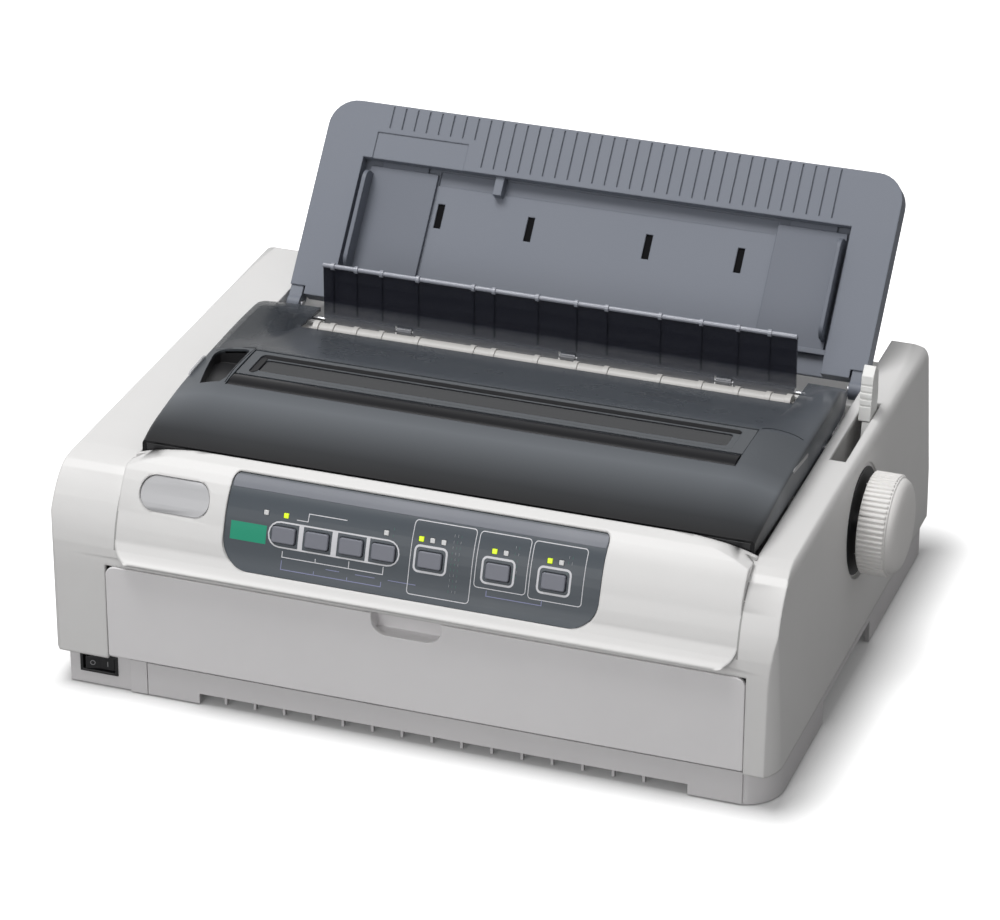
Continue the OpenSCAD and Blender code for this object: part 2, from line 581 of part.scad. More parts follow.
module case_screws() color([0.6, 0.6, 0.62]) place() {
    for (p = case_screw_at) {
        post(p, screw_r, floor_z - eps, floor_z + 12);
        post(p, 3, floor_z - 2, floor_z);
    }
    for (p = frame_screw_at) {
        post(p, screw_r, floor_z + 0.4, frame_z + 2 + eps);
        post(p, 3, frame_z + 2, frame_z + 4);
    }
}

// --- platen group ---
module platen_roller() color([0.1, 0.1, 0.1]) place() difference() {
    rod(platen, platen_r, -platen_half, platen_half);
    rod(platen, shaft_r, -platen_half - 1, platen_half + 1);
}
module platen_shaft() color([0.8, 0.8, 0.82]) place() rod(platen, shaft_r, -151, knob_x0 + 9);
module platen_gear() color([0.92, 0.92, 0.9]) place() difference() {
    gear(platen, big_teeth, 0, gear_x);
    rod(platen, shaft_r, -160, -130);
}
module platen_knob() color([0.86, 0.86, 0.86]) place() difference() {
    union() {
        rod(platen, knob_d / 2 - 1, knob_x0, knob_x0 + 14.5);
        along_x(knob_x0 + 0.5, knob_x0 + 13.6) translate(platen) polygon([for (i = [0:knob_ribs - 1],
            k = [[-1.2, -0.35], [0, -0.2], [0, 0.2], [-1.2, 0.35]])
            polar([0, 0], knob_d / 2 + k[0], 360 / knob_ribs * (i + k[1]))]);
        translate([knob_x0 + 14.5 - eps, platen[0], platen[1]]) rotate([0, 90, 0]) rotate_extrude()
            polygon(concat([[0, 0]], bezier([knob_d / 2 - 1.6, 0], [knob_d / 2 - 2.4, 4.2],
                [knob_d / 2 - 8, knob_x1 - knob_x0 - 14.5], [0, knob_x1 - knob_x0 - 14.5 + eps], 10)));
    }
    rod(platen, shaft_r, knob_x0 - 1, knob_x0 + 9);
}

module pull_up_idler() color([0.92, 0.92, 0.9]) place() difference() {
    gear(idler, big_teeth, idler_a, gear_x);
    rod(idler, 2 + run, -160, -130);
}
module tractor_idler() color([0.92, 0.92, 0.9]) place() difference() {
    gear(tractor_idler_c, big_teeth, tractor_idler_a, gear_x);
    rod(tractor_idler_c, 2 + run, -160, -130);
}
module motor_pinion() color([0.8, 0.75, 0.55]) place() {
    gear(pinion, small_teeth, pinion_a, gear_x);
    rod(pinion, 3, bracket_x - frame_t + 0.4, gear_x[0] + eps);
}
module pull_up_roller() color([0.93, 0.93, 0.92]) place() {
    rod(bar, bar_r, -129, 129);
    for (x = ring_x) rod(bar, bar_r + 0.6, x - 1.4, x + 1.4);
    for (s = [-1, 1]) rod(bar, bar_r + 0.9, s * 127.5 - 1.5, s * 127.5 + 1.5);
    rod(bar, 2, bracket_x - 1.2, frame_x + frame_t + 1);
    gear(bar, small_teeth, bar_a, gear_x);
}
module exit_rollers() color([0.93, 0.93, 0.92]) place() {
    rod(exit_axis, 2, -frame_x - frame_t - 1, frame_x + frame_t + 1);
    for (x = [-68, -50, -17, 1, 51, 68]) rod(exit_axis, 4.4, x - 6, x + 6);
}

tractor_x = 112;
tractor_w = 18;
module tractor_shaft() color([0.8, 0.8, 0.82]) place() {
    along_x(-frame_x + 1, frame_x - 1) translate(tractor_c) square(6, center = true);
    for (s = [-1, 1]) rod(tractor_c, 4, s * (frame_x + 1) - 2.6, s * (frame_x + 1) + 2.6);
    rod(tractor_c, 4, -151.5, -frame_x);
    gear(tractor_c, tractor_teeth, tractor_a, gear_x);
}
module tractor(x) color([0.25, 0.27, 0.3]) place() difference() {
    union() {
        along_x(x - tractor_w / 2, x + tractor_w / 2) translate(tractor_c) round_rect([-14, -12], [36, 12], 10);
        for (t = [-6:12.7:32]) post([x, tractor_c[0] + t], 1.6, tractor_c[1] + 11, tractor_c[1] + 14);
    }
    rod(tractor_c, 4.6, x - tractor_w, x + tractor_w);
    rod(tractor_rod, tractor_rod_r + run, x - tractor_w, x + tractor_w);
}
module tractor_left() tractor(-tractor_x);
module tractor_right() tractor(tractor_x);

// --- carriage ---
head_tip = platen[0] - platen_r - 0.9;
rod_z = carriage_axis[1];
module carriage() color([0.15, 0.15, 0.16]) place() translate([carriage_x, 0, 0]) difference() {
    union() {
        block([-24, 84, rod_z - 9], [24, 117, rod_z + 9]);
        block([-20, 66, rod_z - 13], [20, 85, rod_z - 4]);
        block([-20, 74, rod_z - 4 - eps], [20, 88, rod_z + 6]);
        block([-6, 60, rod_z - 22], [6, 72, rod_z - 4]);
    }
    rod(carriage_axis, carriage_r + run, -30, 30);
    // slot that the near run of the belt passes through
    block([-7, belt_y - pulley_r - 2.2, belt_z - 4], [7, belt_y - pulley_r + 0.4, belt_z + 4]);
}
module print_head() color([0.3, 0.31, 0.33]) place() translate([carriage_x, 0, 0]) {
    block([-18, 92, rod_z + 9], [18, 118, rod_z + 30]);
    block([-9, 117.9, rod_z + 13], [9, 130, rod_z + 28]);
    block([-3, 129.9, platen[1] - 3.1], [3, head_tip, platen[1] + 3.1]);
    for (z = [rod_z + 12:4:rod_z + 28]) block([-20, 94, z], [20, 116, z + 1.4]);
}
module ribbon_cartridge() color([0.12, 0.12, 0.13]) place() translate([carriage_x, 0, 0]) {
    difference() {
        along_z(rod_z + 30.4, rod_z + 44) round_rect([-38, 60], [38, 126], 6);
        post([0, 96], 8, rod_z + 29, rod_z + 45);
    }
    for (s = [-1, 1]) block([s * 30 - 5, 125.9, rod_z + 24], [s * 30 + 5, 132, rod_z + 40]);
}

// --- smoked top cover: a thin sheet drawn through sections across X ---
skin = 2.2;
crown = 132;
lid_y = [79.8, 119.6];
// sections across the cover; those behind the notch keep only the two wings
cover_y = [31.7, 42, 50.7, 65, 79.8, 100, 119.6, 135, 151, 166, 179.4, 185, 190, 196, 202, 207.6];
notch_y = 179;
cover_low = case_h - 2;
knots = [0, 0.12, 0.3, 0.5, 0.7, 0.88, 1];
function edge_x(y) = lookup(y, [[31.7, 156.6], [50.7, 157.2], [150, 157.4], [185, 156.6], [207.6, 153]]);
function ridge_z(y) = case_h + lookup(y, [[31.7, 4.5], [42, 7.3], [50.7, 8.8], [84, 12.6], [115, 13.8],
    [151, 14.4], [176, 14.4], [184, 12.6], [192, 9], [200, 5.4], [207.6, 1.7]]);
function crown_z(y) = case_h + lookup(y, [[31.7, 4.5], [50.7, 10.4], [65, 14], [79.8, 17], [100, 17.9],
    [119.6, 17.6], [135, 14.4], [179.4, 3.5], [207.6, 1.9]]);
// height at the share t of the way from the crown's edge to the ridge
function bulge(y, t) = let (a = crown_z(y), b = ridge_z(y)) a + (b - a) * (b > a ? sin(90 * t) : 1 - cos(90 * t));
function flank(y) = let (x = edge_x(y)) concat([[x, cover_low], [x, ridge_z(y) - 2]],
    [for (i = [len(knots) - 1:-1:0]) [crown + (x - 2 - crown) * knots[i], bulge(y, knots[i])]]);
function flipped(p) = [for (q = rev(p)) [-q[0], q[1]]];
function cover_path(y) = rev(concat(flank(y), flipped(flank(y))));
// sheet of one thickness under a grid of points; cells of the column gap_k behind notch_y are left out
module cover_sheet() {
    outer = [for (y = cover_y) cover_path(y)];
    n = len(outer[0]);
    m = len(outer);
    gap_k = n / 2 - 1;
    low = m * n;
    cells = [for (i = [0:m - 2], k = [0:n - 2]) if (k != gap_k || cover_y[i] < notch_y) [i, k]];
    function has(i, k) = i >= 0 && i < m - 1 && k >= 0 && k < n - 1 && (k != gap_k || cover_y[i] < notch_y);
    function top(i, k) = i * n + k;
    polyhedron(
        points = concat([for (i = [0:m - 1], q = outer[i]) [q[0], cover_y[i], q[1]]],
            [for (i = [0:m - 1], q = inset(outer[i], skin)) [q[0], cover_y[i], q[1]]]),
        faces = [for (c = cells) let (i = c[0], k = c[1], a = top(i, k), b = top(i, k + 1),
            e = top(i + 1, k + 1), d = top(i + 1, k)) each concat(
                [[a, d, e], [a, e, b], [low + a, low + b, low + e], [low + a, low + e, low + d]],
                has(i, k - 1) ? [] : [[a, low + a, low + d], [a, low + d, d]],
                has(i, k + 1) ? [] : [[b, e, low + e], [b, low + e, low + b]],
                has(i - 1, k) ? [] : [[a, b, low + b], [a, low + b, low + a]],
                has(i + 1, k) ? [] : [[d, low + d, low + e], [d, low + e, e]])]);
}
// finger pocket in the cover, beside the lid
pocket = [[-153.6, 88], [-136, 118]];
module pocket_body() intersection() {
    along_y(80, 125) polygon(concat([[-crown, case_h + 6.4], [-crown - 24, case_h + 6.4]],
        [for (t = [1, 0.8, 0.6, 0.4, 0.2, 0]) [-crown - 24 * t, bulge(103, t) - 1.1]]));
    along_z(case_h + 6, case_h + 30) round_rect(pocket[0] - [1.6, 1.8], pocket[1] + [1.6, 1.8], 5);
}
module top_cover() color([0.1, 0.11, 0.12]) place() {
    difference() {
        union() {
            cover_sheet();
            along_x(-155.6, 155.6) polygon([[32, cover_low + 0.2], [34.2, cover_low + 0.2],
                [34.2, case_h + 3.6], [32, case_h + 3.2]]);
            // ledges under the window lid
            block([-crown - 1, lid_y[0] - 2, case_h + 13.3], [crown + 1, lid_y[0] + 2.2, case_h + 14.9]);
            block([-crown - 1, lid_y[1] - 2.4, case_h + 12.2], [crown + 1, lid_y[1] + 2, case_h + 13.6]);
            block([-crown - 1.1, lid_y[1] + 0.6, case_h + 12.3], [crown + 1.1, lid_y[1] + 2.1, case_h + 16.4]);
            pocket_body();
        }
        block([-crown - 0.4, lid_y[0] - 0.4, case_h + 15], [crown + 0.4, lid_y[1] + 0.4, case_h + 30]);
        block([-crown - 0.4, lid_y[0] + 2.4, case_h + 10], [crown + 0.4, lid_y[1] - 2.6, case_h + 30]);
        block([-crown - 2.2, lid_axis[0] - 1.2, lid_axis[1] - 1.2], [crown + 2.2, lid_axis[0] + 1.2, lid_axis[1] + 1.2]);
        along_z(case_h + 8.4, case_h + 30) round_rect(pocket[0], pocket[1], 4);
    }
    for (s = [-1, 1]) {
        along_x(min(s * 148.9, s * 151.2), max(s * 148.9, s * 151.2)) {
            translate(cover_axis) circle(hinge_pin_r + 2);
            polygon([cover_axis - [4, 0], [188, ridge_z(188) - 1.3], [201, ridge_z(201) - 1.7], cover_axis + [4, 0]]);
        }
        rod(cover_axis, hinge_pin_r, min(s * 150, s * (-bracket_x + frame_t)), max(s * 150, s * (-bracket_x + frame_t)));
    }
}
lid_axis = [lid_y[1] - 1.8, case_h + 15.4];
module window_lid() color([0.12, 0.13, 0.15]) place() {
    difference() {
        along_x(-crown, crown) polygon([[lid_y[0], case_h + 15.2], [lid_y[1] - 0.4, case_h + 15.2],
            [lid_y[1] - 0.4, case_h + 16.2], [lid_y[1] - 1.6, case_h + 17.4],
            [lid_y[0] + 12, case_h + 17.4], [lid_y[0] + 12, case_h + 16.8], [lid_y[0], case_h + 16.8]]);
        along_z(case_h + 16.4, case_h + 20) round_rect([-crown + 3, lid_y[0] + 15], [crown - 3, lid_y[1] - 3.4], 3);
    }
    rod([lid_y[0] + 4.6, case_h + 16], 2, -crown + 1, crown - 1);
    for (s = [-1, 1]) rod(lid_axis, 0.9, min(s * (crown - 2), s * (crown + 1.8)), max(s * (crown - 2), s * (crown + 1.8)));
}

// --- front door, hinged at its lower edge ---
module front_door() color([0.8, 0.8, 0.8]) place() {
    difference() {
        along_y(front_y, front_y + wall) corner_rect([-door_w / 2, door_z0], [door_w / 2, door_z1], [1, 1, 5, 5]);
        along_y(front_y - 1, front_y + wall + 1)
            corner_rect([scoop_x[0], scoop_z], [scoop_x[1], door_z1 + 5], [8, 8, 1, 1]);
    }
    difference() {
        block([scoop_x[0] - 2, front_y + wall - eps, scoop_z - 2], [scoop_x[1] + 2, 8, door_z1 - 1.2]);
        block([scoop_x[0], -8, scoop_z], [scoop_x[1], 6.2, door_z1 + 1]);
    }
    for (s = [-1, 1]) rod(door_axis, door_pin_r, min(s * (door_w / 2 - 1), s * (door_w / 2 + 2)),
        max(s * (door_w / 2 - 1), s * (door_w / 2 + 2)));
}

// --- sheet guide: X across, Y up the slope, Z out of its face ---
module on_guide() place() translate([0, guide_axis[0], guide_axis[1]]) rotate([guide_tilt, 0, 0])
    translate([0, guide_off[0], guide_off[1]]) children();
slot_x = [-87.5, -37.3, 27.7, 77.6];
groove_step = 6.83;
module sheet_guide() color([0.5, 0.52, 0.57]) on_guide() {
    difference() {
        along_z(-guide_t, 0) corner_rect([-guide_x, -2], [guide_x, guide_len], [3, 3, 15, 15]);
        // paper recess in front, and hollows behind the rim
        along_z(-recess_d, 1) round_rect([-recess_x, -6], [recess_x, shelf_s], 0.5);
        block([-recess_x - 1, shelf_s - 1, -recess_d], [recess_x + 1, shelf_s + 2.4, -recess_d + 2.4]);
        along_z(-guide_t - 1, -2.4) round_rect([-guide_x + 14, shelf_s + 5], [guide_x - 14, guide_len - 3], 5);
        for (s = [-1, 1]) along_z(-guide_t - 1, -2.4)
            round_rect([s * 147 - 8, 10], [s * 147 + 8, shelf_s - 4], 2);
        for (x = slot_x) along_z(-guide_t - 1, 1) round_rect([x - 1.6, 46], [x + 1.6, 59.4], 0.4);
        for (s = [-1, 1]) block([s * 153.6 - 4.6, -3, -guide_t - 1], [s * 153.6 + 4.6, 2.5, 1]);
        // grip lines near the top edge, short ones over the left end
        for (i = [0:36]) block([-123.4 + groove_step * i, i < 8 ? shelf_s + 17.4 : shelf_s + 3, -0.6],
            [-122.6 + groove_step * i, guide_len - 1.1, 1]);
    }
    block([-59.7, shelf_s - 10, -recess_d - eps], [-55, shelf_s + eps, -2]);
    // lip over the feet of the edge guides
    block([-recess_x - eps, 8.6, -5], [recess_x + eps, 11.4, -3.6]);
    // hinge lugs and the arms that carry them
    for (s = [-1, 1]) difference() {
        along_x(s * 153.5 - 3.5, s * 153.5 + 3.5) {
            translate([-guide_off[0], -guide_off[1]]) circle(5);
            polygon([[-guide_off[0] - 3, -guide_off[1] + 4], [-guide_off[0] - 3, -guide_off[1] - 4],
                [4, -guide_t + 0.5], [4, -1]]);
        }
        rod([-guide_off[0], -guide_off[1]], guide_pin_r + run, s * 153.5 - 5, s * 153.5 + 5);
    }
}
// plate from a to b with a fence at f and a tongue that runs in the slot under the shelf
module edge_guide(a, b, f) {
    block([a, 9, -recess_d + play], [b, shelf_s - 2.7, -recess_d + 2.1]);
    block([a + 6, shelf_s - 4, -recess_d + play], [b - 6, shelf_s + 2, -recess_d + 1.7]);
    along_x(f, f + 2.2) corner_rect([16, -recess_d + play], [shelf_s - 7, 5], [0.5, 0.5, 6, 6]);
}
module edge_guide_left() color([0.52, 0.54, 0.6]) on_guide() edge_guide(-130.4, -92.3, -130.4);
module edge_guide_right() color([0.52, 0.54, 0.6]) on_guide() edge_guide(94.5, 131.6, 129.4);

// --- clear flap behind the paper exit ---
flap_y = [200.6, 202.4];
flap_top = case_h + 30;
clip_x = [-83, 6.5, 90];
module exit_flap() color([0.12, 0.13, 0.2]) place() difference() {
    union() {
        block([-127.7, flap_y[0], case_h + 1.4], [127.7, flap_y[1], flap_top]);
        rod([flap_y[0] - 0.4, flap_top], 2.2, -127.7, 127.7);
        for (x = ring_x) block([x - 3.6, flap_y[0] - 0.8, case_h + 3.5], [x - 2.6, flap_y[0] + 0.1, flap_top - 1]);
        for (x = clip_x) {
            rod(flap_axis, 2.4, x - 4, x + 4);
            block([x - 4, flap_y[0], flap_axis[1]], [x + 4, flap_y[1], case_h + 2]);
        }
    }
    rod(flap_axis, 1 + run, -130, 130);
}

module paper_lever() color([0.93, 0.93, 0.92]) place() difference() {
    union() {
        rod(lever_axis, 6, 167, 171);
        along_x(167, 171) polygon([lever_axis + [-4.5, 0], lever_axis + [4.5, -2], [193.4, case_h - 13],
            [196.8, case_h + 1], [185, case_h + 1], [182, case_h - 13]]);
        along_x(165, 171.2) translate([0, case_h]) polygon([[184, -2.5], [186, 11], [188, 20.5], [192.5, 24.8],
            [197.5, 20.5], [198.4, 9], [197, -2.5]]);
    }
    rod(lever_axis, 3 + run, 165, 173);
    for (z = [5, 8.5, 12, 15.5]) block([164, 182, case_h + z], [172, 185 + z * 0.17, case_h + z + 0.8]);
}

// --- sprung control buttons ---
module button(i) color([0.5, 0.52, 0.55]) place() on_bezel(key_x[i], key_z) {
    along_z(-3.4, 1) round_rect([-key_w / 2, -key_h / 2], [key_w / 2, key_h / 2], 1.2);
    along_z(-3.5, -2.7) round_rect([-key_w / 2 - 1.2, -key_h / 2 - 1.2], [key_w / 2 + 1.2, key_h / 2 + 1.2], 1);
    block([-1.8, -1.8, -8 + key_travel + play], [1.8, 1.8, -3.4]);
}
module button_1() button(0);
module button_2() button(1);
module button_3() button(2);
module button_4() button(3);
module button_5() button(4);
module button_6() button(5);
module button_7() button(6);

base_tray();
lower_front_panel();
rubber_feet();
upper_case();
control_panel();
led_lenses();
panel_board();
badge_plate();
left_side_frame();
right_side_frame();
guide_shafts();
carriage_belt();
carriage_motor();
line_feed_motor();
gear_bracket();
platen_bushings();
paper_chute();
tear_bar();
main_board();
power_supply();
interface_ports();
power_inlet();
switch_housing();
pivot_pins();
case_screws();
platen_roller();
platen_shaft();
platen_gear();
platen_knob();
pull_up_idler();
pull_up_roller();
tractor_idler();
tractor_shaft();
motor_pinion();
exit_rollers();
carriage();
print_head();
ribbon_cartridge();
drive_pulley();
idler_pulley();
top_cover();
window_lid();
front_door();
sheet_guide();
edge_guide_left();
edge_guide_right();
exit_flap();
paper_lever();
power_rocker();
button_1();
button_2();
button_3();
button_4();
button_5();
button_6();
button_7();
tractor_left();
tractor_right();
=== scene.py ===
"""Looks of a narrow desktop dot matrix printer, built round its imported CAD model."""
import math

import bmesh
import bpy
from mathutils import Matrix, Vector
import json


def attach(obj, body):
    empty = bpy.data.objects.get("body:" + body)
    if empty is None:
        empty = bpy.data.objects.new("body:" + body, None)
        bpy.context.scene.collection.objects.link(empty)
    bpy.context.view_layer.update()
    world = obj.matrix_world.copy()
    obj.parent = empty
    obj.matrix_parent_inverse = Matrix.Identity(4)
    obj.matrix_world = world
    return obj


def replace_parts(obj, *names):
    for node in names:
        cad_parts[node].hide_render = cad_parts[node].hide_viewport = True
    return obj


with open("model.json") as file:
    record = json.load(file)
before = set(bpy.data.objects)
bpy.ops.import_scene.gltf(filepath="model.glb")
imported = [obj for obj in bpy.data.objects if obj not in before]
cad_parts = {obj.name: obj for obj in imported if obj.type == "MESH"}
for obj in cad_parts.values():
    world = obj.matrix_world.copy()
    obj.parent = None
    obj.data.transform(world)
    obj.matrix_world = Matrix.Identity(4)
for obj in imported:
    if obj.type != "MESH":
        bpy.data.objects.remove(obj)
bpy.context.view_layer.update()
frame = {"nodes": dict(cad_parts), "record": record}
scene = bpy.context.scene
NODES = frame["nodes"]
BODY_OF = {n: b for b, ns in frame["record"]["behaviour"]["bodies"].items() for n in ns}
SLOT_OF = {s["node"]: s["material_slot"] for s in frame["record"]["subparts"]}

# the CAD source's working frame in millimetres, moved to the model's frame in metres
MID_X, MID_Y = 3.0, 147.6106


def P(x, y, z):
    return Vector(((x - MID_X) / 1000, (y - MID_Y) / 1000, z / 1000))


def lin(v):
    v /= 255
    return v / 12.92 if v <= 0.04045 else ((v + 0.055) / 1.055) ** 2.4


def rgb(r, g, b):
    """A linear colour from the 0 to 255 values that it shows as."""
    return (lin(r), lin(g), lin(b))


def node(nt, kind, **inputs):
    """New shader node; an input's name is written with _ for its spaces."""
    n = nt.nodes.new(kind)
    for k, v in inputs.items():
        n.inputs[k.replace("_", " ")].default_value = v
    return n


def add_object(name, data):
    o = bpy.data.objects.new(name, data)
    scene.collection.objects.link(o)
    return o


# ---------------------------------------------------------------- camera, light, floor
AZ, EL, ROLL = 0.3414353, 0.4758565, 0.001496
CAMERA_AT = (642.9, -1693.8, 1090.4)
LENS = 155.93
WORLD_LIGHT = 0.33


def make_camera():
    back = Vector((math.sin(AZ) * math.cos(EL), -math.cos(AZ) * math.cos(EL), math.sin(EL)))
    right = Vector((math.cos(AZ), math.sin(AZ), 0))
    up = back.cross(right)
    c, s = math.cos(ROLL), math.sin(ROLL)
    r, u = c * right + s * up, -s * right + c * up
    cam = add_object("camera", bpy.data.cameras.new("camera"))
    cam.data.lens = LENS
    cam.data.sensor_width = 36
    cam.data.clip_start, cam.data.clip_end = 0.1, 30
    m = Matrix((r, u, back)).transposed().to_4x4()
    m.translation = P(*CAMERA_AT)
    cam.matrix_world = m
    scene.camera = cam


def area_light(name, place, target, size, power):
    d = bpy.data.lights.new(name, "AREA")
    d.shape, d.size, d.energy = "DISK", size, power
    o = add_object(name, d)
    o.location = place
    o.rotation_mode = "QUATERNION"
    o.rotation_quaternion = (Vector(target) - Vector(place)).to_track_quat("-Z", "Y")


def make_world():
    """White where it is seen, mirrored or looked at through plastic, and dimmer as a light."""
    world = bpy.data.worlds.new("studio")
    scene.world = world
    world.use_nodes = True
    nt = world.node_tree
    rays = nt.nodes.new("ShaderNodeLightPath")
    seen = rays.outputs["Is Camera Ray"]
    for kind in ("Is Transmission Ray", "Is Glossy Ray"):
        either = nt.nodes.new("ShaderNodeMath")
        either.operation = "MAXIMUM"
        nt.links.new(seen, either.inputs[0])
        nt.links.new(rays.outputs[kind], either.inputs[1])
        seen = either.outputs[0]
    level = node(nt, "ShaderNodeMapRange", To_Min=WORLD_LIGHT, To_Max=1.0)
    nt.links.new(seen, level.inputs["Value"])
    backdrop = nt.nodes["Background"]
    backdrop.inputs["Color"].default_value = (1, 1, 1, 1)
    nt.links.new(level.outputs["Result"], backdrop.inputs["Strength"])


# box on the floor under the printer, in metres, and how far from it the floor gets its full light
FOOTPRINT_SHIFT, FOOTPRINT_HALF, FLOOR_RISE = (0.0073, 0.0093, 0), (0.1832, 0.1383, 0), 0.032


def floor_material():
    """Pale paper; its own light rises with the distance from the printer's footprint."""
    m = bpy.data.materials.new("floor_paper")
    m.use_nodes = True
    nt = m.node_tree
    nt.nodes.clear()
    out = nt.nodes.new("ShaderNodeOutputMaterial")
    plain = node(nt, "ShaderNodeBsdfDiffuse", Color=(0.3, 0.3, 0.3, 1))
    paper = node(nt, "ShaderNodeBsdfDiffuse", Color=(0.86, 0.86, 0.86, 1))
    glow = nt.nodes.new("ShaderNodeEmission")
    both = nt.nodes.new("ShaderNodeAddShader")
    last = nt.nodes.new("ShaderNodeTexCoord").outputs["Object"]
    for kind, value in (("MULTIPLY", (1, 1, 0)), ("ADD", FOOTPRINT_SHIFT), ("ABSOLUTE", None),
                        ("SUBTRACT", FOOTPRINT_HALF), ("MAXIMUM", (0, 0, 0)), ("LENGTH", None)):
        step = nt.nodes.new("ShaderNodeVectorMath")
        step.operation = kind
        nt.links.new(last, step.inputs[0])
        if value:
            step.inputs[1].default_value = value
        last = step.outputs["Value" if kind == "LENGTH" else "Vector"]
    rise = node(nt, "ShaderNodeMapRange", From_Max=FLOOR_RISE, To_Min=0.05, To_Max=0.8)
    nt.links.new(last, rise.inputs["Value"])
    nt.links.new(rise.outputs["Result"], glow.inputs["Strength"])
    nt.links.new(paper.outputs[0], both.inputs[0])
    nt.links.new(glow.outputs[0], both.inputs[1])
    rays = nt.nodes.new("ShaderNodeLightPath")
    mix = nt.nodes.new("ShaderNodeMixShader")
    nt.links.new(rays.outputs["Is Camera Ray"], mix.inputs[0])
    nt.links.new(plain.outputs[0], mix.inputs[1])
    nt.links.new(both.outputs[0], mix.inputs[2])
    nt.links.new(mix.outputs[0], out.inputs["Surface"])
    return m


def make_floor():
    bm = bmesh.new()
    bmesh.ops.create_grid(bm, x_segments=4, y_segments=4, size=7)
    me = bpy.data.meshes.new("floor")
    bm.to_mesh(me)
    bm.free()
    me.materials.append(floor_material())
    add_object("floor", me)


make_camera()
area_light("key", (-0.6, -0.36, 2.3), (0, 0, 0.08), 1.3, 31)
area_light("front", (-0.4, -2.5, 0.95), (0, 0, 0.1), 1.2, 14)
make_world()
scene.view_settings.view_transform = "Standard"
make_floor()


# ---------------------------------------------------------------- materials
def moulded(name, colour, rough=0.45, grain=900, bump=0.12, vary=0.03, alpha=1.0, metallic=0.0,
            specular=0.5, edge=0.0005, glow=None, stretch=None):
    """Moulded or painted surface: fine grain, faint mottling in colour and gloss, soft edges."""
    m = bpy.data.materials.new(name)
    m.use_nodes = True
    nt = m.node_tree
    b = nt.nodes["Principled BSDF"]
    where = nt.nodes.new("ShaderNodeTexCoord").outputs["Object"]
    if stretch:
        mp = node(nt, "ShaderNodeMapping", Scale=stretch)
        nt.links.new(where, mp.inputs["Vector"])
        where = mp.outputs["Vector"]
    cloud = node(nt, "ShaderNodeTexNoise", Scale=26.0, Detail=3.0, Roughness=0.6)
    fine = node(nt, "ShaderNodeTexNoise", Scale=float(grain), Detail=2.0, Roughness=0.55)
    nt.links.new(where, cloud.inputs["Vector"])
    nt.links.new(where, fine.inputs["Vector"])
    tint = nt.nodes.new("ShaderNodeMix")
    tint.data_type = "RGBA"
    tint.inputs["A"].default_value = (*[c * (1 - vary) for c in colour], 1)
    tint.inputs["B"].default_value = (*[min(1, c * (1 + vary)) for c in colour], 1)
    nt.links.new(cloud.outputs["Fac"], tint.inputs["Factor"])
    nt.links.new(tint.outputs["Result"], b.inputs["Base Color"])
    dull = node(nt, "ShaderNodeMapRange", To_Min=max(0.02, rough - 0.07), To_Max=rough + 0.07)
    nt.links.new(cloud.outputs["Fac"], dull.inputs["Value"])
    nt.links.new(dull.outputs["Result"], b.inputs["Roughness"])
    relief = node(nt, "ShaderNodeBump", Strength=bump, Distance=0.0002)
    nt.links.new(fine.outputs["Fac"], relief.inputs["Height"])
    if edge:
        soft = node(nt, "ShaderNodeBevel", Radius=edge)
        soft.samples = 4
        nt.links.new(soft.outputs["Normal"], relief.inputs["Normal"])
    nt.links.new(relief.outputs["Normal"], b.inputs["Normal"])
    b.inputs["Metallic"].default_value = metallic
    b.inputs["Specular IOR Level"].default_value = specular
    b.inputs["Alpha"].default_value = alpha
    if glow:
        b.inputs["Emission Color"].default_value = (*colour, 1)
        b.inputs["Emission Strength"].default_value = glow
    m.diffuse_color = (*colour, alpha)
    return m


CASE = moulded("case_plastic", rgb(232, 231, 230), 0.42, bump=0.10, edge=0.0016)
BASE = moulded("base_plastic", rgb(227, 225, 226), 0.46, bump=0.14)
# Painted light: the door is the case plastic made lighter, so its front face renders brighter.
DOOR_PAINTED_LIGHT = moulded("door_plastic_painted_light", rgb(242, 240, 241), 0.46, bump=0.14)
PANEL = moulded("panel_plastic", rgb(58, 66, 74), 0.38, bump=0.05)
BAND = moulded("panel_band", rgb(95, 99, 109), 0.4, bump=0.05)
KEY = moulded("key_plastic", rgb(118, 120, 130), 0.4, bump=0.08)
GUIDE = moulded("guide_plastic", rgb(117, 122, 133), 0.5, bump=0.16, edge=0.0009)
COVER = moulded("cover_front", rgb(70, 74, 79), 0.36, bump=0.10, specular=0.2)
SMOKED = moulded("smoked_plastic", rgb(84, 89, 96), 0.28, bump=0.03, alpha=0.68, specular=0.25)
LID = moulded("lid_plastic", rgb(84, 88, 93), 0.2, bump=0.02, alpha=0.88, specular=0.25)
FLAP = moulded("flap_plastic", rgb(35, 36, 45), 0.18, bump=0.02, alpha=0.84, edge=0.0)
BLACK = moulded("black_plastic", rgb(34, 34, 36), 0.4)
WHITE = moulded("white_plastic", rgb(244, 244, 242), 0.38, bump=0.08)
UNLIT = moulded("lens_clear", rgb(226, 226, 226), 0.25, bump=0.02)
LIT = moulded("lens_lit", rgb(196, 222, 10), 0.25, bump=0.02, glow=0.75)
SILVER = moulded("silver_plate", rgb(176, 176, 178), 0.4, bump=0.08, metallic=0.35)
STEEL = moulded("steel", rgb(186, 187, 190), 0.28, grain=400, bump=0.06, metallic=1.0,
                stretch=(0.04, 1, 1))
ZINC = moulded("zinc_sheet", rgb(164, 166, 168), 0.4, grain=220, bump=0.08, vary=0.1, metallic=1.0)
DARK = moulded("dark_metal", rgb(70, 72, 76), 0.42, grain=500, bump=0.12, metallic=0.7)
BOARD = moulded("circuit_board", rgb(30, 92, 62), 0.35, grain=260, bump=0.2, vary=0.12)
RUBBER = moulded("rubber", rgb(38, 38, 38), 0.75, grain=700, bump=0.3)
INK = moulded("ink_white", rgb(222, 222, 226), 0.5, bump=0.0, edge=0.0)
LILAC = moulded("ink_lilac", rgb(134, 138, 172), 0.5, bump=0.0, edge=0.0)
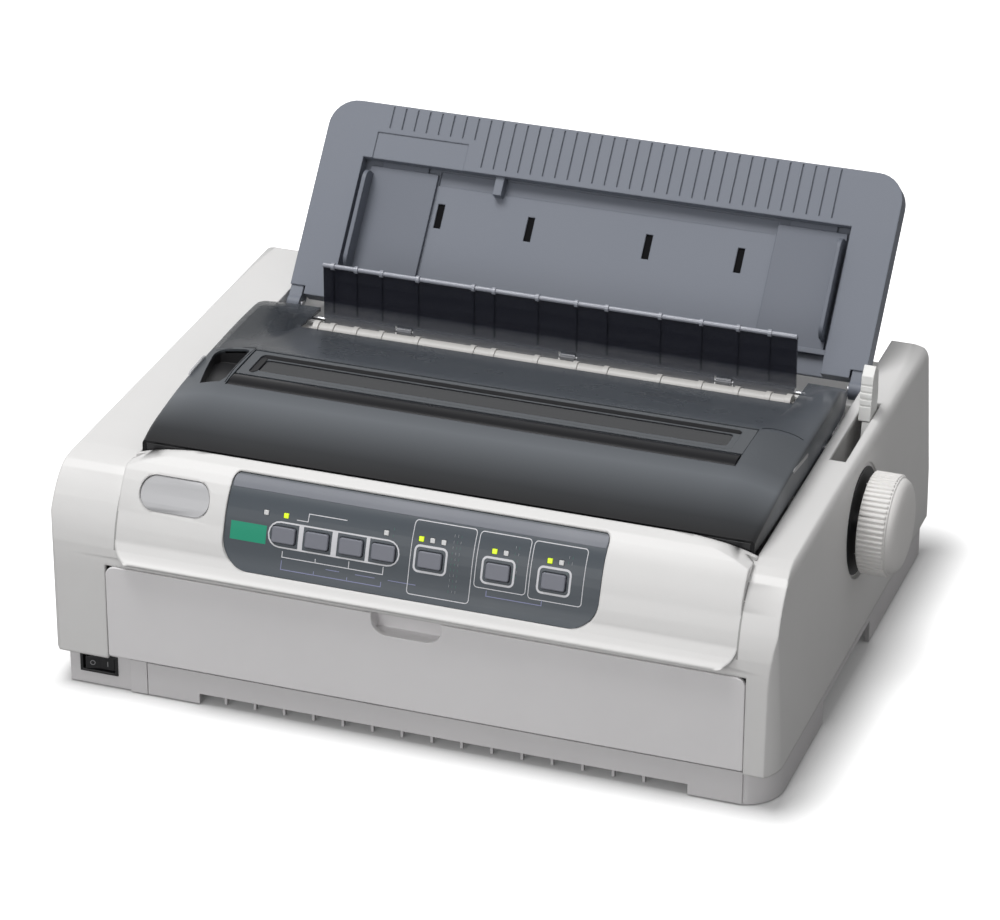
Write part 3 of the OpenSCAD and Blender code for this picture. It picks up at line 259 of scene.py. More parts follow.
GREEN = moulded("ink_green", rgb(0, 150, 116), 0.5, bump=0.0, edge=0.0)
GROOVE = moulded("groove_dark", rgb(16, 16, 18), 0.6, bump=0.0, edge=0.0, specular=0.05)
SHEER = moulded("lid_pane", rgb(40, 42, 46), 0.12, bump=0.0, alpha=0.78, specular=0.35, edge=0.0)
BAR = moulded("lid_bar", rgb(22, 22, 25), 0.3, bump=0.0, specular=0.12)
ROLLER = moulded("roller_plastic", rgb(206, 204, 201), 0.4, bump=0.06)
KNOB = moulded("knob_plastic", rgb(242, 240, 238), 0.42, bump=0.08)
TAB = moulded("tab_clear", rgb(196, 198, 202), 0.2, bump=0.0, alpha=0.6, edge=0.0)
PLATE = moulded("plate_plastic", rgb(106, 111, 122), 0.5, bump=0.16, edge=0.0009)
# Grey of the painted shade lines beside the bezel.
PAINTED_SHADE_GREY = moulded("painted_shade_grey", rgb(176, 175, 174), 0.6, bump=0.0, edge=0.0)
MARK = moulded("ink_grey", rgb(150, 150, 152), 0.5, bump=0.0, edge=0.0)
# Pale colour of the flap's top roll and rib knobs: a painted highlight.
ROLL = moulded("flap_roll_painted_highlight", rgb(158, 161, 171), 0.1, bump=0.0, edge=0.0)


def ramp(m, axis, stops, socket, colours=False):
    """A socket of the shader follows stops of (millimetres along the axis, value or colour)."""
    nt = m.node_tree
    split = nt.nodes.new("ShaderNodeSeparateXYZ")
    nt.links.new(nt.nodes.new("ShaderNodeTexCoord").outputs["Object"], split.inputs[0])
    place = {"X": MID_X, "Y": MID_Y, "Z": 0}[axis]
    out = None
    for (a, u), (b, v) in zip(stops, stops[1:]):
        part = node(nt, "ShaderNodeMapRange", From_Min=(a - place) / 1000, From_Max=(b - place) / 1000)
        nt.links.new(split.outputs[axis], part.inputs["Value"])
        mix = nt.nodes.new("ShaderNodeMix")
        mix.data_type = "RGBA"
        for k, w in (("A", u), ("B", v)):
            mix.inputs[k].default_value = (*(w if colours else (w, w, w)), 1)
        if out:
            nt.links.new(out, mix.inputs["A"])
        nt.links.new(part.outputs["Result"], mix.inputs["Factor"])
        out = mix.outputs["Result"]
    nt.links.new(out, nt.nodes["Principled BSDF"].inputs[socket])


# Painted highlight and shade on the cover's grey front: dark at the front edge, brightest across the crown
# near y 70.
ramp(COVER, "Y", [(33, rgb(22, 22, 24)), (42, rgb(40, 42, 45)), (53, rgb(72, 75, 79)),
                  (70, rgb(104, 108, 113)), (84, rgb(84, 88, 93)), (120, rgb(74, 78, 83))],
     "Base Color", True)
ramp(FLAP, "Z", [(121, 0.7), (129.6, 0.76), (131, 0.88)], "Alpha")
# Painted reflection: the flap's colour pales towards its foot, where the pale roller below shows in it.
ramp(FLAP, "Z", [(119, rgb(160, 161, 165)), (122, rgb(104, 107, 115)), (125, rgb(66, 69, 79)),
                 (129.8, rgb(46, 49, 60)), (131.2, rgb(35, 36, 45))],
     "Base Color", True)
# Painted shade: the smoked plastic darkens towards the cover's left end.
ramp(SMOKED, "X", [(-150, rgb(60, 64, 69)), (-128, rgb(68, 72, 78)), (-92, rgb(88, 93, 100)),
                   (150, rgb(90, 95, 102))],
     "Base Color", True)
BY_SLOT = {"case_plastic": CASE, "base_plastic": BASE, "panel_plastic": PANEL, "key_plastic": KEY,
           "guide_plastic": GUIDE, "smoked_plastic": SMOKED, "flap_plastic": FLAP, "black_plastic": BLACK,
           "white_plastic": WHITE, "lens": UNLIT, "silver_plate": SILVER, "steel": STEEL,
           "zinc_sheet": ZINC, "dark_metal": DARK, "board": BOARD, "rubber": RUBBER}
for n, o in NODES.items():
    o.data.materials.clear()
    o.data.materials.append(ROLLER if n == "pull_up_roller" else BY_SLOT[SLOT_OF[n]])


# ---------------------------------------------------------------- piece makers
def finish_piece(me, name, material, body, smooth=35):
    me.materials.clear()
    me.materials.append(material)
    me.polygons.foreach_set("use_smooth", [True] * len(me.polygons))
    me.set_sharp_from_angle(angle=math.radians(smooth))
    o = add_object(name, me)
    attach(o, body)
    return o


def weighted(o):
    m = o.modifiers.new("normals", "WEIGHTED_NORMAL")
    m.keep_sharp = True


def bevel(o, width, segments=2):
    m = o.modifiers.new("edges", "BEVEL")
    m.width, m.segments = width / 1000, segments
    m.limit_method, m.angle_limit = "ANGLE", math.radians(40)
    m.use_clamp_overlap = False
    m.harden_normals = True
    m.miter_outer = "MITER_ARC"


def clean_copy(n):
    """The CAD node's mesh as a welded mesh with its flat faces joined up."""
    bm = bmesh.new()
    bm.from_mesh(NODES[n].data)
    bmesh.ops.remove_doubles(bm, verts=bm.verts, dist=2e-6)
    bmesh.ops.dissolve_limit(bm, angle_limit=math.radians(0.6), verts=bm.verts, edges=bm.edges)
    me = bpy.data.meshes.new(n + "_skin")
    bm.to_mesh(me)
    bm.free()
    return me


def refine(n, width, material=None, segments=2, smooth=35, cut=()):
    """A copy of a CAD node with rounded edges stands for it; without a width its edges stay sharp."""
    me = clean_copy(n)
    if cut:
        me = carve(n + "_skin", me, cut=cut)
    o = finish_piece(me, n + "_skin", material or BY_SLOT[SLOT_OF[n]], BODY_OF[n], smooth)
    if width:
        bevel(o, width, segments)
    else:
        weighted(o)
    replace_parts(o, n)


def mesh_of(name, points, faces):
    me = bpy.data.meshes.new(name)
    me.from_pydata([tuple(p) for p in points], [], faces)
    me.update()
    return me


def outward(me):
    """Turns the faces of a mesh to the outside."""
    bm = bmesh.new()
    bm.from_mesh(me)
    bmesh.ops.recalc_face_normals(bm, faces=bm.faces)
    bm.to_mesh(me)
    bm.free()
    return me


def joined(name, parts):
    """One mesh from several (points, faces) lists."""
    pts, fcs = [], []
    for p, f in parts:
        fcs += [[i + len(pts) for i in q] for q in f]
        pts += list(p)
    return outward(mesh_of(name, pts, fcs))


def piece(name, parts, material, body):
    return finish_piece(joined(name, parts), name, material, body)


def drop(o):
    """Removes an object and its mesh."""
    old = o.data
    bpy.data.objects.remove(o)
    bpy.data.meshes.remove(old)


def baked(o):
    """The mesh of an object with its modifiers applied; the object goes."""
    bpy.context.view_layer.update()
    deps = bpy.context.evaluated_depsgraph_get()
    me = bpy.data.meshes.new_from_object(o.evaluated_get(deps), depsgraph=deps)
    drop(o)
    return me


def carve(name, base, add=(), cut=()):
    """Mesh of a base mesh with the solids of add joined on and those of cut taken away."""
    o = add_object(name, base)
    tools = []
    for kind, group in (("UNION", add), ("DIFFERENCE", cut)):
        for parts in group:
            t = add_object(name + "_tool", joined(name + "_tool", parts))
            tools.append(t)
            m = o.modifiers.new(kind, "BOOLEAN")
            m.operation, m.solver, m.object = kind, "EXACT", t
    me = baked(o)
    me.name = name
    for t in tools:
        drop(t)
    return me


def strip(rows, closed=False):
    """Closed solid along rows of four points: two on its face, then the two under them."""
    n = len(rows)
    faces = []
    for i in range(n if closed else n - 1):
        a, b = 4 * i, 4 * ((i + 1) % n)
        faces += [[a, a + 1, b + 1, b], [a + 3, a + 2, b + 2, b + 3],
                  [a + 2, a, b, b + 2], [a + 1, a + 3, b + 3, b + 1]]
    if not closed:
        e = 4 * (n - 1)
        faces += [[0, 2, 3, 1], [e, e + 1, e + 3, e + 2]]
    return [p for row in rows for p in row], faces


def prism(outline, a, b, to3):
    """Closed prism on an outline between the levels a and b; to3(u, v, w) gives the point."""
    n = len(outline)
    pts = [to3(u, v, a) for u, v in outline] + [to3(u, v, b) for u, v in outline]
    faces = [list(range(n))[::-1], list(range(n, 2 * n))]
    faces += [[i, (i + 1) % n, n + (i + 1) % n, n + i] for i in range(n)]
    return pts, faces


def box_part(a, b):
    x0, y0, z0 = a
    x1, y1, z1 = b
    return prism([(x0, y0), (x1, y0), (x1, y1), (x0, y1)], z0, z1, P)


def around(c, r, degrees):
    """Point at the radius r round c."""
    t = math.radians(degrees)
    return c[0] + r * math.cos(t), c[1] + r * math.sin(t)


def ring(c, r, steps=24):
    return [around(c, r, 360 * i / steps) for i in range(steps)]


def side_prism(outline_yz, a, b):
    """Prism from x = a to x = b on an outline in y and z."""
    return prism(outline_yz, a, b, lambda u, v, w: P(w, u, v))


def rod_part(c, r, a, b, steps=24):
    return side_prism(ring(c, r, steps), a, b)


def both_sides(a, b):
    """The spans from a to b on the right and on the left of the paper's middle."""
    return [(-b, -a), (a, b)]


def rounded(x0, z0, x1, z1, r, steps=6):
    """Rectangle with round corners; r may be one radius or four from the lower left on."""
    rr = [r] * 4 if not isinstance(r, (list, tuple)) else list(r)
    out = []
    for (cx, cz, a), q in zip([(x0, z0, 180), (x1, z0, 270), (x1, z1, 0), (x0, z1, 90)], rr):
        sx = 1 if cx == x0 else -1
        sz = 1 if cz == z0 else -1
        out += [around((cx + sx * q, cz + sz * q), q, a + 90 * i / steps) for i in range(steps + 1)]
    return out


def lookup(y, table):
    if y <= table[0][0]:
        return table[0][1]
    for (a, u), (b, v) in zip(table, table[1:]):
        if y <= b:
            return u + (v - u) * (y - a) / (b - a)
    return table[-1][1]


def smooth_lookup(y, table):
    """Monotone cubic through the table."""
    xs, ys = [t[0] for t in table], [t[1] for t in table]
    if y <= xs[0]:
        return ys[0]
    if y >= xs[-1]:
        return ys[-1]
    n = len(xs)
    d = [(ys[i + 1] - ys[i]) / (xs[i + 1] - xs[i]) for i in range(n - 1)]
    m = [d[0]] + [0 if d[i - 1] * d[i] <= 0 else 2 * d[i - 1] * d[i] / (d[i - 1] + d[i])
                  for i in range(1, n - 1)] + [d[-1]]
    i = next(k for k in range(n - 1) if y <= xs[k + 1])
    h = xs[i + 1] - xs[i]
    t = (y - xs[i]) / h
    return ((2 * t ** 3 - 3 * t ** 2 + 1) * ys[i] + (t ** 3 - 2 * t ** 2 + t) * h * m[i]
            + (3 * t ** 2 - 2 * t ** 3) * ys[i + 1] + (t ** 3 - t ** 2) * h * m[i + 1])


# ---------------------------------------------------------------- bezel and its panel
CASE_H = 121.0


def bezier(a, b, c, d, n):
    out = []
    for i in range(n + 1):
        t = i / n
        u = 1 - t
        out.append(tuple(u ** 3 * a[k] + 3 * u * u * t * b[k] + 3 * u * t * t * c[k] + t ** 3 * d[k]
                         for k in (0, 1)))
    return out


# the bezel's front face as a table of y at z
BEZEL = [(z, y) for y, z in bezier((-7.5, 76), (7.5, 84), (-0.5, CASE_H - 3), (29.8, CASE_H + 4.3), 14)]
INK_D = -0.42    # the ink's face, measured out of the bezel's curve


def on_bezel(x, z, d):
    """Point at x and height z on the bezel's curve, d millimetres out of it."""
    slope = math.atan2(1, lookup(z + 0.5, BEZEL) - lookup(z - 0.5, BEZEL))
    return P(x, lookup(z, BEZEL) - math.sin(slope) * d, z + math.cos(slope) * d)


def bezel_patch(x0, z0, x1, z1, r=0.0):
    """Thin closed patch on the panel, with its corners cut round by r."""
    count = max(1, round((z1 - z0) / 1.5))
    rows = []
    for i in range(count + 1):
        z = z0 + (z1 - z0) * i / count
        e = min(z - z0, z1 - z)
        g = r - math.sqrt(max(0, r * r - (r - e) ** 2)) if e < r else 0
        rows.append([on_bezel(x, z, h) for h in (INK_D, INK_D - 0.35) for x in (x0 + g, x1 - g)])
    return strip(rows)


def line(path, w=0.4, closed=False):
    """Line of ink of width w through points (x, z) on the panel."""
    rows, dense = [], []
    loop = path + [path[0]] if closed else path
    for (xa, za), (xb, zb) in zip(loop, loop[1:]):
        n = max(1, math.ceil(abs(zb - za) / 1.6))
        dense += [(xa + (xb - xa) * i / n, za + (zb - za) * i / n) for i in range(n)]
    if not closed:
        dense.append(loop[-1])
    n = len(dense)
    for i, (x, z) in enumerate(dense):
        a = dense[i - 1] if (i or closed) else None
        b = dense[(i + 1) % n] if (i < n - 1 or closed) else None
        dirs = []
        for p, q in ((a, (x, z)), ((x, z), b)):
            if p is None or q is None:
                continue
            v = Vector((q[0] - p[0], q[1] - p[1]))
            if v.length > 1e-6:
                dirs.append(v.normalized())
        t = sum(dirs, Vector((0, 0)))
        t = t.normalized() if t.length > 1e-6 else dirs[0]
        side = Vector((-t.y, t.x))
        k = w / 2 / max(0.5, abs(side.dot(Vector((-dirs[0].y, dirs[0].x)))))
        rows.append([on_bezel(x + side.x * q, z + side.y * q, h)
                     for h in (INK_D, INK_D - 0.3) for q in (k, -k)])
    return strip(rows, closed)


KEY_X = [-71.6, -54.4, -36.8, -20.2, 3.6, 37.9, 66]
LED_X = [-82, -71.7, -20, -2.1, 3.6, 9.3, 35, 40.8, 62.8, 68.6]
LIT_X = [-71.7, -2.1, 35, 62.8]
KEY_Z, LED_Z = 100.8, 109.6


def ink(name, parts, material):
    piece(name, parts, material, "chassis")


def rect(x0, z0, x1, z1, r):
    return rounded(x0, z0, x1, z1, r, 4)


def dot(x, z, r=0.6):
    return bezel_patch(x - r, z - r, x + r, z + r, r * 0.95)


def dot_table(x, heights, rows, pale, green):
    """A table of dots from x on: w stands for a pale dot and g for a green one."""
    for z, marks in zip(heights, rows):
        for k, c in enumerate(marks):
            (pale if c == "w" else green).append(dot(x + 1.75 * k, z))


def panel_graphics():
    white = [line(rect(-79.6, 95.0, -12.4, 106.6, 5.6), 0.7, True)]
    white += [line(rect(x - 8.0, 95.0, x + 8.0, 106.8, 2.2), 1.0, True) for x in KEY_X[4:]]
    white += [bezel_patch(a + 7.4, 95.3, b - 7.4, 106.3) for a, b in zip(KEY_X[:3], KEY_X[1:4])]
    frames = [(-6.6, 84.2, 24.8, 117.0), (26.6, 92.4, 52.4, 116.8), (53.9, 91.4, 80.6, 116.6)]
    white += [line(rect(*f, 1.6), 0.35, True) for f in frames]
    white += [line([(-66, 108.6), (-60.2, 108.6), (-60.2, 112), (-40.6, 112)], 0.35),
              line([(-71.6, 93.4), (-71.6, 90.6), (-19.6, 90.6), (-19.6, 94.2)]),
              line([(-54.4, 92.4), (-54.4, 90.6)]),
              line([(-37.2, 94.0), (-37.2, 90.6)])]
    lilac = [line([(-71.6, 89.0), (-71.6, 85.0), (-20, 85.0), (-20, 87.2)]),
             line([(-54.6, 86.6), (-54.6, 85.0)]),
             line([(-37.4, 86.6), (-37.4, 85.0)])]
    lilac += [line([(a, 88.4), (b, 88.4)], 0.35) for a, b in ((-48.6, -41.6), (-33.4, -23.4), (-16.6, -2.4))]
    lilac.append(line([(33.2, 91.6), (33.2, 89.0), (61.0, 89.0), (61.0, 91.6)]))
    green, pale = [bezel_patch(-99.4, 95.2, -80.8, 103.8)], []
    dot_table(14.2, [113.2 - 2.5 * i for i in range(11)],
              ["wwg", "wgw", "wgg", "gww", "gwg", "ggw", "ggg", "wwg", "wgw", "wgg", "gww"], pale, green)
    dot_table(45.2, [112.6 - 2.6 * i for i in range(6)], ["wg", "gw", "gg", "wg", "gw", "gg"], pale, green)
    dot_table(72.0, [112.4, 109.9, 105.4, 102.4], ["wg", "gw", "gg", "wg"], pale, green)
    green += [dot(-16.4, 111.8), dot(-16.4, 108.8)]
    ink("panel_lines", white, INK)
    ink("panel_grouping_lines", lilac, LILAC)
    ink("panel_dots_white", pale, INK)
    ink("panel_marks_green", green, GREEN)
    ink("panel_upper_band", [bezel_patch(-102.2, 117.9, 88.9, 122.0, 0.6)], BAND)


panel_graphics()


def lenses():
    """Ten lamp windows; four of them are lit."""
    slope = math.atan2(1, lookup(KEY_Z + 0.5, BEZEL) - lookup(KEY_Z - 0.5, BEZEL))
    up = Vector((0, math.cos(slope), math.sin(slope)))
    out = Vector((0, -math.sin(slope), math.cos(slope)))
    rel = Vector((0, lookup(LED_Z, BEZEL) - lookup(KEY_Z, BEZEL), LED_Z - KEY_Z))
    s, top = rel.dot(up), rel.dot(out)

    def at(x0):
        def f(u, v, w):
            q = Vector((x0 + u, lookup(KEY_Z, BEZEL), KEY_Z)) + up * (s + v) + out * w
            return P(*q)
        return f

    dark_x = [x for x in LED_X if x not in LIT_X]
    for name, xs, mat in (("lenses_lit", LIT_X, LIT), ("lenses_unlit", dark_x, UNLIT)):
        parts = [prism(rounded(-1.2, -1.2, 1.2, 1.2, 0.25, 3), -9.2, top - 0.2, at(x)) for x in xs]
        o = piece(name, parts, mat, "chassis")
        bevel(o, 0.15)
        if name == "lenses_lit":
            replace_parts(o, "led_lenses")


lenses()

# ---------------------------------------------------------------- cover
EDGE = [(31.7, 156.6), (50.7, 157.2), (150, 157.4), (185, 156.6), (207.6, 153)]
RIDGE = [(31.7, 4.5), (42, 7.3), (50.7, 8.8), (84, 12.6), (115, 13.8), (151, 14.4), (176, 14.4),
         (184, 12.6), (192, 9), (200, 5.4), (207.6, 1.7)]
CROWN = [(31.7, 4.5), (50.7, 10.4), (65, 14), (79.8, 17), (100, 17.9), (119.6, 17.6), (135, 14.4),
         (179.4, 3.5), (207.6, 1.9)]
CROWN_X, EDGE_R = 132.4, 2.0          # half width of the crown, and radius of the side edges
COVER_LOW, SHEET = CASE_H - 2, 2.2    # foot of the cover's sides, and its wall
LID_Y, NOTCH_Y = (79.4, 120.0), 179.4
COVER_PIVOT = (200, 116)


def cover_section(y):
    """Side edge, crown height and ridge height of the cover at y."""
    return smooth_lookup(y, EDGE), CASE_H + smooth_lookup(y, CROWN), CASE_H + smooth_lookup(y, RIDGE)


def crown_to_ridge(a, b, t):
    """Height from the crown's a to the ridge's b, flat where it meets the higher of the two."""
    return a + (b - a) * (math.sin(math.pi / 2 * t) if b > a else 1 - math.cos(math.pi / 2 * t))


def cover_z(x, y):
    """Height of the cover's outer face."""
    e, a, b = cover_section(y)
    return crown_to_ridge(a, b, min(1, max(0, (abs(x) - CROWN_X) / (e - EDGE_R - CROWN_X))))


def cover_columns(y):
    """The cover's outer section at y: points (x, z) from the right edge's foot to the middle."""
    e, a, b = cover_section(y)
    low = b - EDGE_R
    out = [(e, COVER_LOW), (e, COVER_LOW + 0.5 * (low - COVER_LOW)), (e, low)]
    out += [around((e - EDGE_R, low), EDGE_R, t) for t in (30, 60)]
    for k in range(12, -1, -1):
        out.append((CROWN_X + (e - EDGE_R - CROWN_X) * k / 12, crown_to_ridge(a, b, k / 12)))
    return out + [(x, a) for x in (110, 88, 66, 44, 22)]


def cover_line(path, w):
    """Fine line on the cover's outer face through points (x, y)."""
    rows = []
    for k, (x, y) in enumerate(path):
        a, b = path[max(0, k - 1)], path[min(len(path) - 1, k + 1)]
        t = Vector((b[0] - a[0], b[1] - a[1])).normalized()
        edges = [(x - q * t.y, y + q * t.x) for q in (w / 2, -w / 2)]
        rows.append([P(u, v, cover_z(u, v) + h) for h in (0.06, -0.44) for u, v in edges])
    return strip(rows)


# outline of the hand pocket, its floor's upper and lower face, and its wall
POCKET = [(-146, 79.5), (-149.4, 95), (-152.2, 110), (-152.6, 114), (-151, 117.4), (-148.5, 118.4),
          (-137, 118.4), (-135, 117.6), (-134.4, 116), (-134.4, 86), (-136, 81)]
POCKET_Z, POCKET_WALL = (129.2, 127.4), 1.6


def cover_sheet():
    """Mesh of the cover's sheet, open at the window and at the rear notch."""
    ys = [31.7, 33, 35, 38, 42, 46, 50.7, 55, 60, 65, 70, 75, 79.4, 85, 90, 95, 100, 105, 110, 115, 120.0,
          124, 129, 134, 139, 145, 151, 157, 163, 169, 175, 179.4, 182, 185, 188, 191, 194, 197, 200, 203,
          205.5, 207.6]
    pts = []
    for y in ys:
        right = cover_columns(y)
        pts += [P(x, y, z) for x, z in right + [(-x, z) for x, z in reversed(right)]]
    half = len(right)
    n = 2 * half
    crown = half - 6               # the column at CROWN_X
    faces = []
    for i, y in enumerate(ys[:-1]):
        for k in range(n - 1):
            inner = crown <= k < n - 1 - crown
            if inner and (y >= NOTCH_Y or LID_Y[0] <= y < LID_Y[1]):
                continue
            a = i * n + k
            faces.append([a, a + 1, a + n + 1, a + n])
    sheet = add_object("top_cover_sheet", mesh_of("top_cover_sheet", pts, faces))
    m = sheet.modifiers.new("sheet", "SOLIDIFY")
    m.thickness, m.offset = SHEET / 1000, 1
    m.use_even_offset = True
    return outward(baked(sheet))


def cover_shell():
    """The cover: solid grey in front, and smoked from the window's rear edge on; their colour ramps paint
    highlight and shade on both.
    """
    me = carve("top_cover_shell", cover_sheet(), cut=[[prism(POCKET, 126, 150, P)]])
    for p in me.polygons:
        p.material_index = 0
    o = finish_piece(me, "top_cover_shell", COVER, "top_cover", 40)
    me.materials.append(SMOKED)
    for p in me.polygons:
        if p.center.y > P(0, LID_Y[1], 0).y:
            p.material_index = 1
    weighted(o)
    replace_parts(o, "top_cover")


def on_cover(name, parts, material):
    return piece(name, parts, material, "top_cover")


def cover_pocket():
    """Tray under the pocket's hole; its wall ends inside the cover's sheet."""
    k = len(POCKET)
    mid_x, mid_y = (sum(p[i] for p in POCKET) / k for i in (0, 1))
    grown = [(u + math.copysign(POCKET_WALL, u - mid_x), v + math.copysign(POCKET_WALL, v - mid_y))
             for u, v in POCKET]
    floor, under = POCKET_Z
    pts = [P(u, v, under) for u, v in grown] + [P(u, v, cover_z(u, v) - SHEET / 2) for u, v in grown]
    pts += [P(u, v, cover_z(u, v) - SHEET / 2) for u, v in POCKET] + [P(u, v, floor) for u, v in POCKET]
    faces = [list(range(k)), list(range(3 * k, 4 * k))]
    for i in range(k):
        j = (i + 1) % k
        faces += [[t * k + i, t * k + j, (t + 1) * k + j, (t + 1) * k + i] for t in range(3)]
    weighted(on_cover("cover_pocket", [(pts, faces)], BLACK))


def cover_fittings():
    """Front lip, window ledges, hinge lugs and rods, dark boxes at the rear, and what lies on the face."""
    low = COVER_LOW + 0.2
    parts = [side_prism([(32, low), (34.2, low), (34.2, 124.4), (32, 124.1)], -155, 155),
             box_part((-132.8, 77.8, 134.4), (132.8, 82, 135.9)),
             box_part((-132.8, 117.2, 133.3), (132.8, 121.4, 134.5))]
    lug = [around(COVER_PIVOT, 3.5, t) for t in range(180, 361, 15)] + [(201, 124.2), (188, 130)]
    parts += [side_prism(lug, a, b) for a, b in both_sides(148.9, 151.2)]
    parts += [rod_part(COVER_PIVOT, 1.5, a, b) for a, b in both_sides(150, 153.6)]
    parts += [box_part((a, 162, 123.2), (b, 168, 126)) for a, b in ((-101, -64), (57, 93))]
    bevel(on_cover("top_cover_fittings", parts, BLACK), 0.3)
    right = [(133.2, 121.5), (135, 122.8), (137.9, 123.9), (142, 124.4), (146.2, 124.4), (150.5, 123.6),
             (154, 122.2)]
    left = [(-133, 81), (-133.8, 92), (-133.9, 104), (-133.4, 114), (-132.9, 121.6), (-138, 120.6),
            (-146, 119.4), (-153.6, 118.2)]
    on_cover("cover_lines", [cover_line(right, 0.45), cover_line(left, 0.4)], GROOVE)
    light = [(94, 131.3), (118, 128.5), (119.6, 129.6), (118, 130.6), (95.5, 133.1), (93, 132.7)]
    on_cover("cover_side_strip", [side_prism(light, 156.6, 157.55)], MARK)
    tab = [(89.4, 132.8), (110, 133.4), (109.4, 135.9), (107, 136.2), (92, 135.4), (90, 134.6)]
    on_cover("cover_tab", [side_prism(tab, -156.6, -155.7)], TAB)


cover_shell()
cover_pocket()
cover_fittings()


def on_lid(name, parts, material):
    return piece(name, parts, material, "window_lid")


def lid():
    """Window lid: a rounded bar in front, and a pane two steps deep, with dark strips on the slopes behind
    and left that paint their shade.
    """
    base = prism(rounded(-132, 79.8, 132, 119.2, 0.8, 2), 136.2, 138.3, P)
    outer = prism(rounded(-126.8, 95, 125.4, 116.3, 3), 137.5, 150, P)
    inner = prism(rounded(-123.2, 99.4, 121.8, 112.6, 2.2), 130, 150, P)
    front = box_part((-140, 70, 137.4), (140, 92.6, 150))
    me = carve("window_lid_frame", joined("window_lid_frame", [base]), cut=[[front], [outer], [inner]])
    o = finish_piece(me, "window_lid_frame", LID, "window_lid")
    weighted(o)
    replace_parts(o, "window_lid")
    on_lid("window_lid_pane", [prism(rounded(-123.3, 99.3, 121.9, 112.7, 2.2), 136.3, 137.0, P)], SHEER)
    # Painted shade: dark strips on the recess's rear and left slopes.
    rear = [(112.5, 136.6), (116.4, 136.6), (116.4, 138.24), (115.9, 138.24), (112.5, 137.2)]
    left = [(-126.9, 95.4), (-123.1, 99), (-123.1, 113), (-126.9, 116)]
    on_lid("window_lid_slope_shade", [side_prism(rear, -126, 124.6), prism(left, 136.7, 137.75, P)], BAR)
    section = [(80.4, 136.6), (91.8, 136.6), (91.4, 137.3), (91.6, 138), (90, 138.7), (87, 139.0),
               (84, 138.7), (81.6, 137.9), (80.4, 137)]
    pins = [rod_part((117.8, 136.4), 0.9, a, b) for a, b in both_sides(130, 133.8)]
    weighted(on_lid("window_lid_bar", [side_prism(section, -131.6, 131.6)] + pins, BAR))


lid()

# ---------------------------------------------------------------- sheet guide, edge guides, flap
TILT = math.radians(49.7)
GUIDE_X, RECESS_X, SHELF_S, GUIDE_LEN = 157.4, 134, 77, 107.29
GUIDE_PIVOT, PIVOT_YZ = (-7.1, -3.8), (224, 114.5)    # the pivot on the guide, and in the working frame
SLOT_X = (-87.5, -37.3, 27.7, 77.6)
GROOVES, GROOVE_X0, GROOVE_STEP = 37, -123, 6.83


def on_guide(u, v, w):
    """Point of the sheet guide: u across, v up its slope, w out of its face."""
    v, w = v - GUIDE_PIVOT[0], w - GUIDE_PIVOT[1]
    return P(u, PIVOT_YZ[0] + v * math.cos(TILT) - w * math.sin(TILT),
             PIVOT_YZ[1] + v * math.sin(TILT) + w * math.cos(TILT))


def slab(x0, s0, x1, s1, n0, n1, r=0):
    outline = rounded(x0, s0, x1, s1, r, 8) if r else [(x0, s0), (x1, s0), (x1, s1), (x0, s1)]
    return prism(outline, n0, n1, on_guide)


def across(outline_sn, a, b):
    """Prism from x = a to x = b on an outline in the guide's slope and depth."""
    return prism(outline_sn, a, b, lambda u, v, w: on_guide(w, u, v))


def guide():
    """The sheet guide, hollow behind, with its recess, ledge slot, slots, grip grooves and pivot arms."""
    arm = [(-10.1, 0.2), (-10.1, -7.8), (4, -9.5), (4, -1)]
    base = joined("guide_base", [slab(-GUIDE_X, -2, GUIDE_X, GUIDE_LEN, -10, 0, [3, 3, 15, 15])])
    grooves = [(GROOVE_X0 + GROOVE_STEP * i, 94.4 if i < 8 else 80) for i in range(GROOVES)]
    cut = [[slab(-RECESS_X, -6, RECESS_X, SHELF_S, -7.5, 1)],
           [slab(-91.6, 69, 94, SHELF_S - 0.3, -8.4, -7)],
           [slab(-RECESS_X - 1, SHELF_S - 1, RECESS_X + 1, SHELF_S + 2.4, -7.5, -5.1)],
           [slab(-143.4, 82, 143.4, 104.3, -11, -2.4, 5)],
           [slab(a, 10, b, 73, -11, -2.4, 2) for a, b in both_sides(139, 155)],
           [slab(x - 1.9, 45.8, x + 1.9, 59.2, -11, 1) for x in SLOT_X],
           [slab(a, -3, b, 2.5, -11, 1) for a, b in both_sides(149, 158.2)],
           [slab(x - 0.34, s, x + 0.34, 106.2, -0.6, 1) for x, s in grooves],
           [slab(-129, SHELF_S - 1, -78, 91.5, -0.5, 1)]]
    me = carve("sheet_guide_body", base, cut=cut)
    add = [[slab(-59.7, 67, -55, 77.6, -8.8, -2)],
           [slab(-RECESS_X - 0.5, 8.6, RECESS_X + 0.5, 11.4, -5, -3.6)],
           [across(ring(GUIDE_PIVOT, 5), a, b) for a, b in both_sides(150, 157)],
           [across(arm, a, b) for a, b in both_sides(150, 157)]]
    bores = [across(ring(GUIDE_PIVOT, 2.05), a, b) for a, b in both_sides(149, 158)]
    me = carve("sheet_guide_body", me, add=add, cut=[bores])
    o = finish_piece(me, "sheet_guide_body", GUIDE, "sheet_guide")
    weighted(o)
    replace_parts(o, "sheet_guide")
    dark = [slab(x - 1.95, 45.7, x + 1.95, 59.3, -9.4, -8.4) for x in SLOT_X]
    piece("guide_slot_catches", dark, GROOVE, "sheet_guide")


guide()


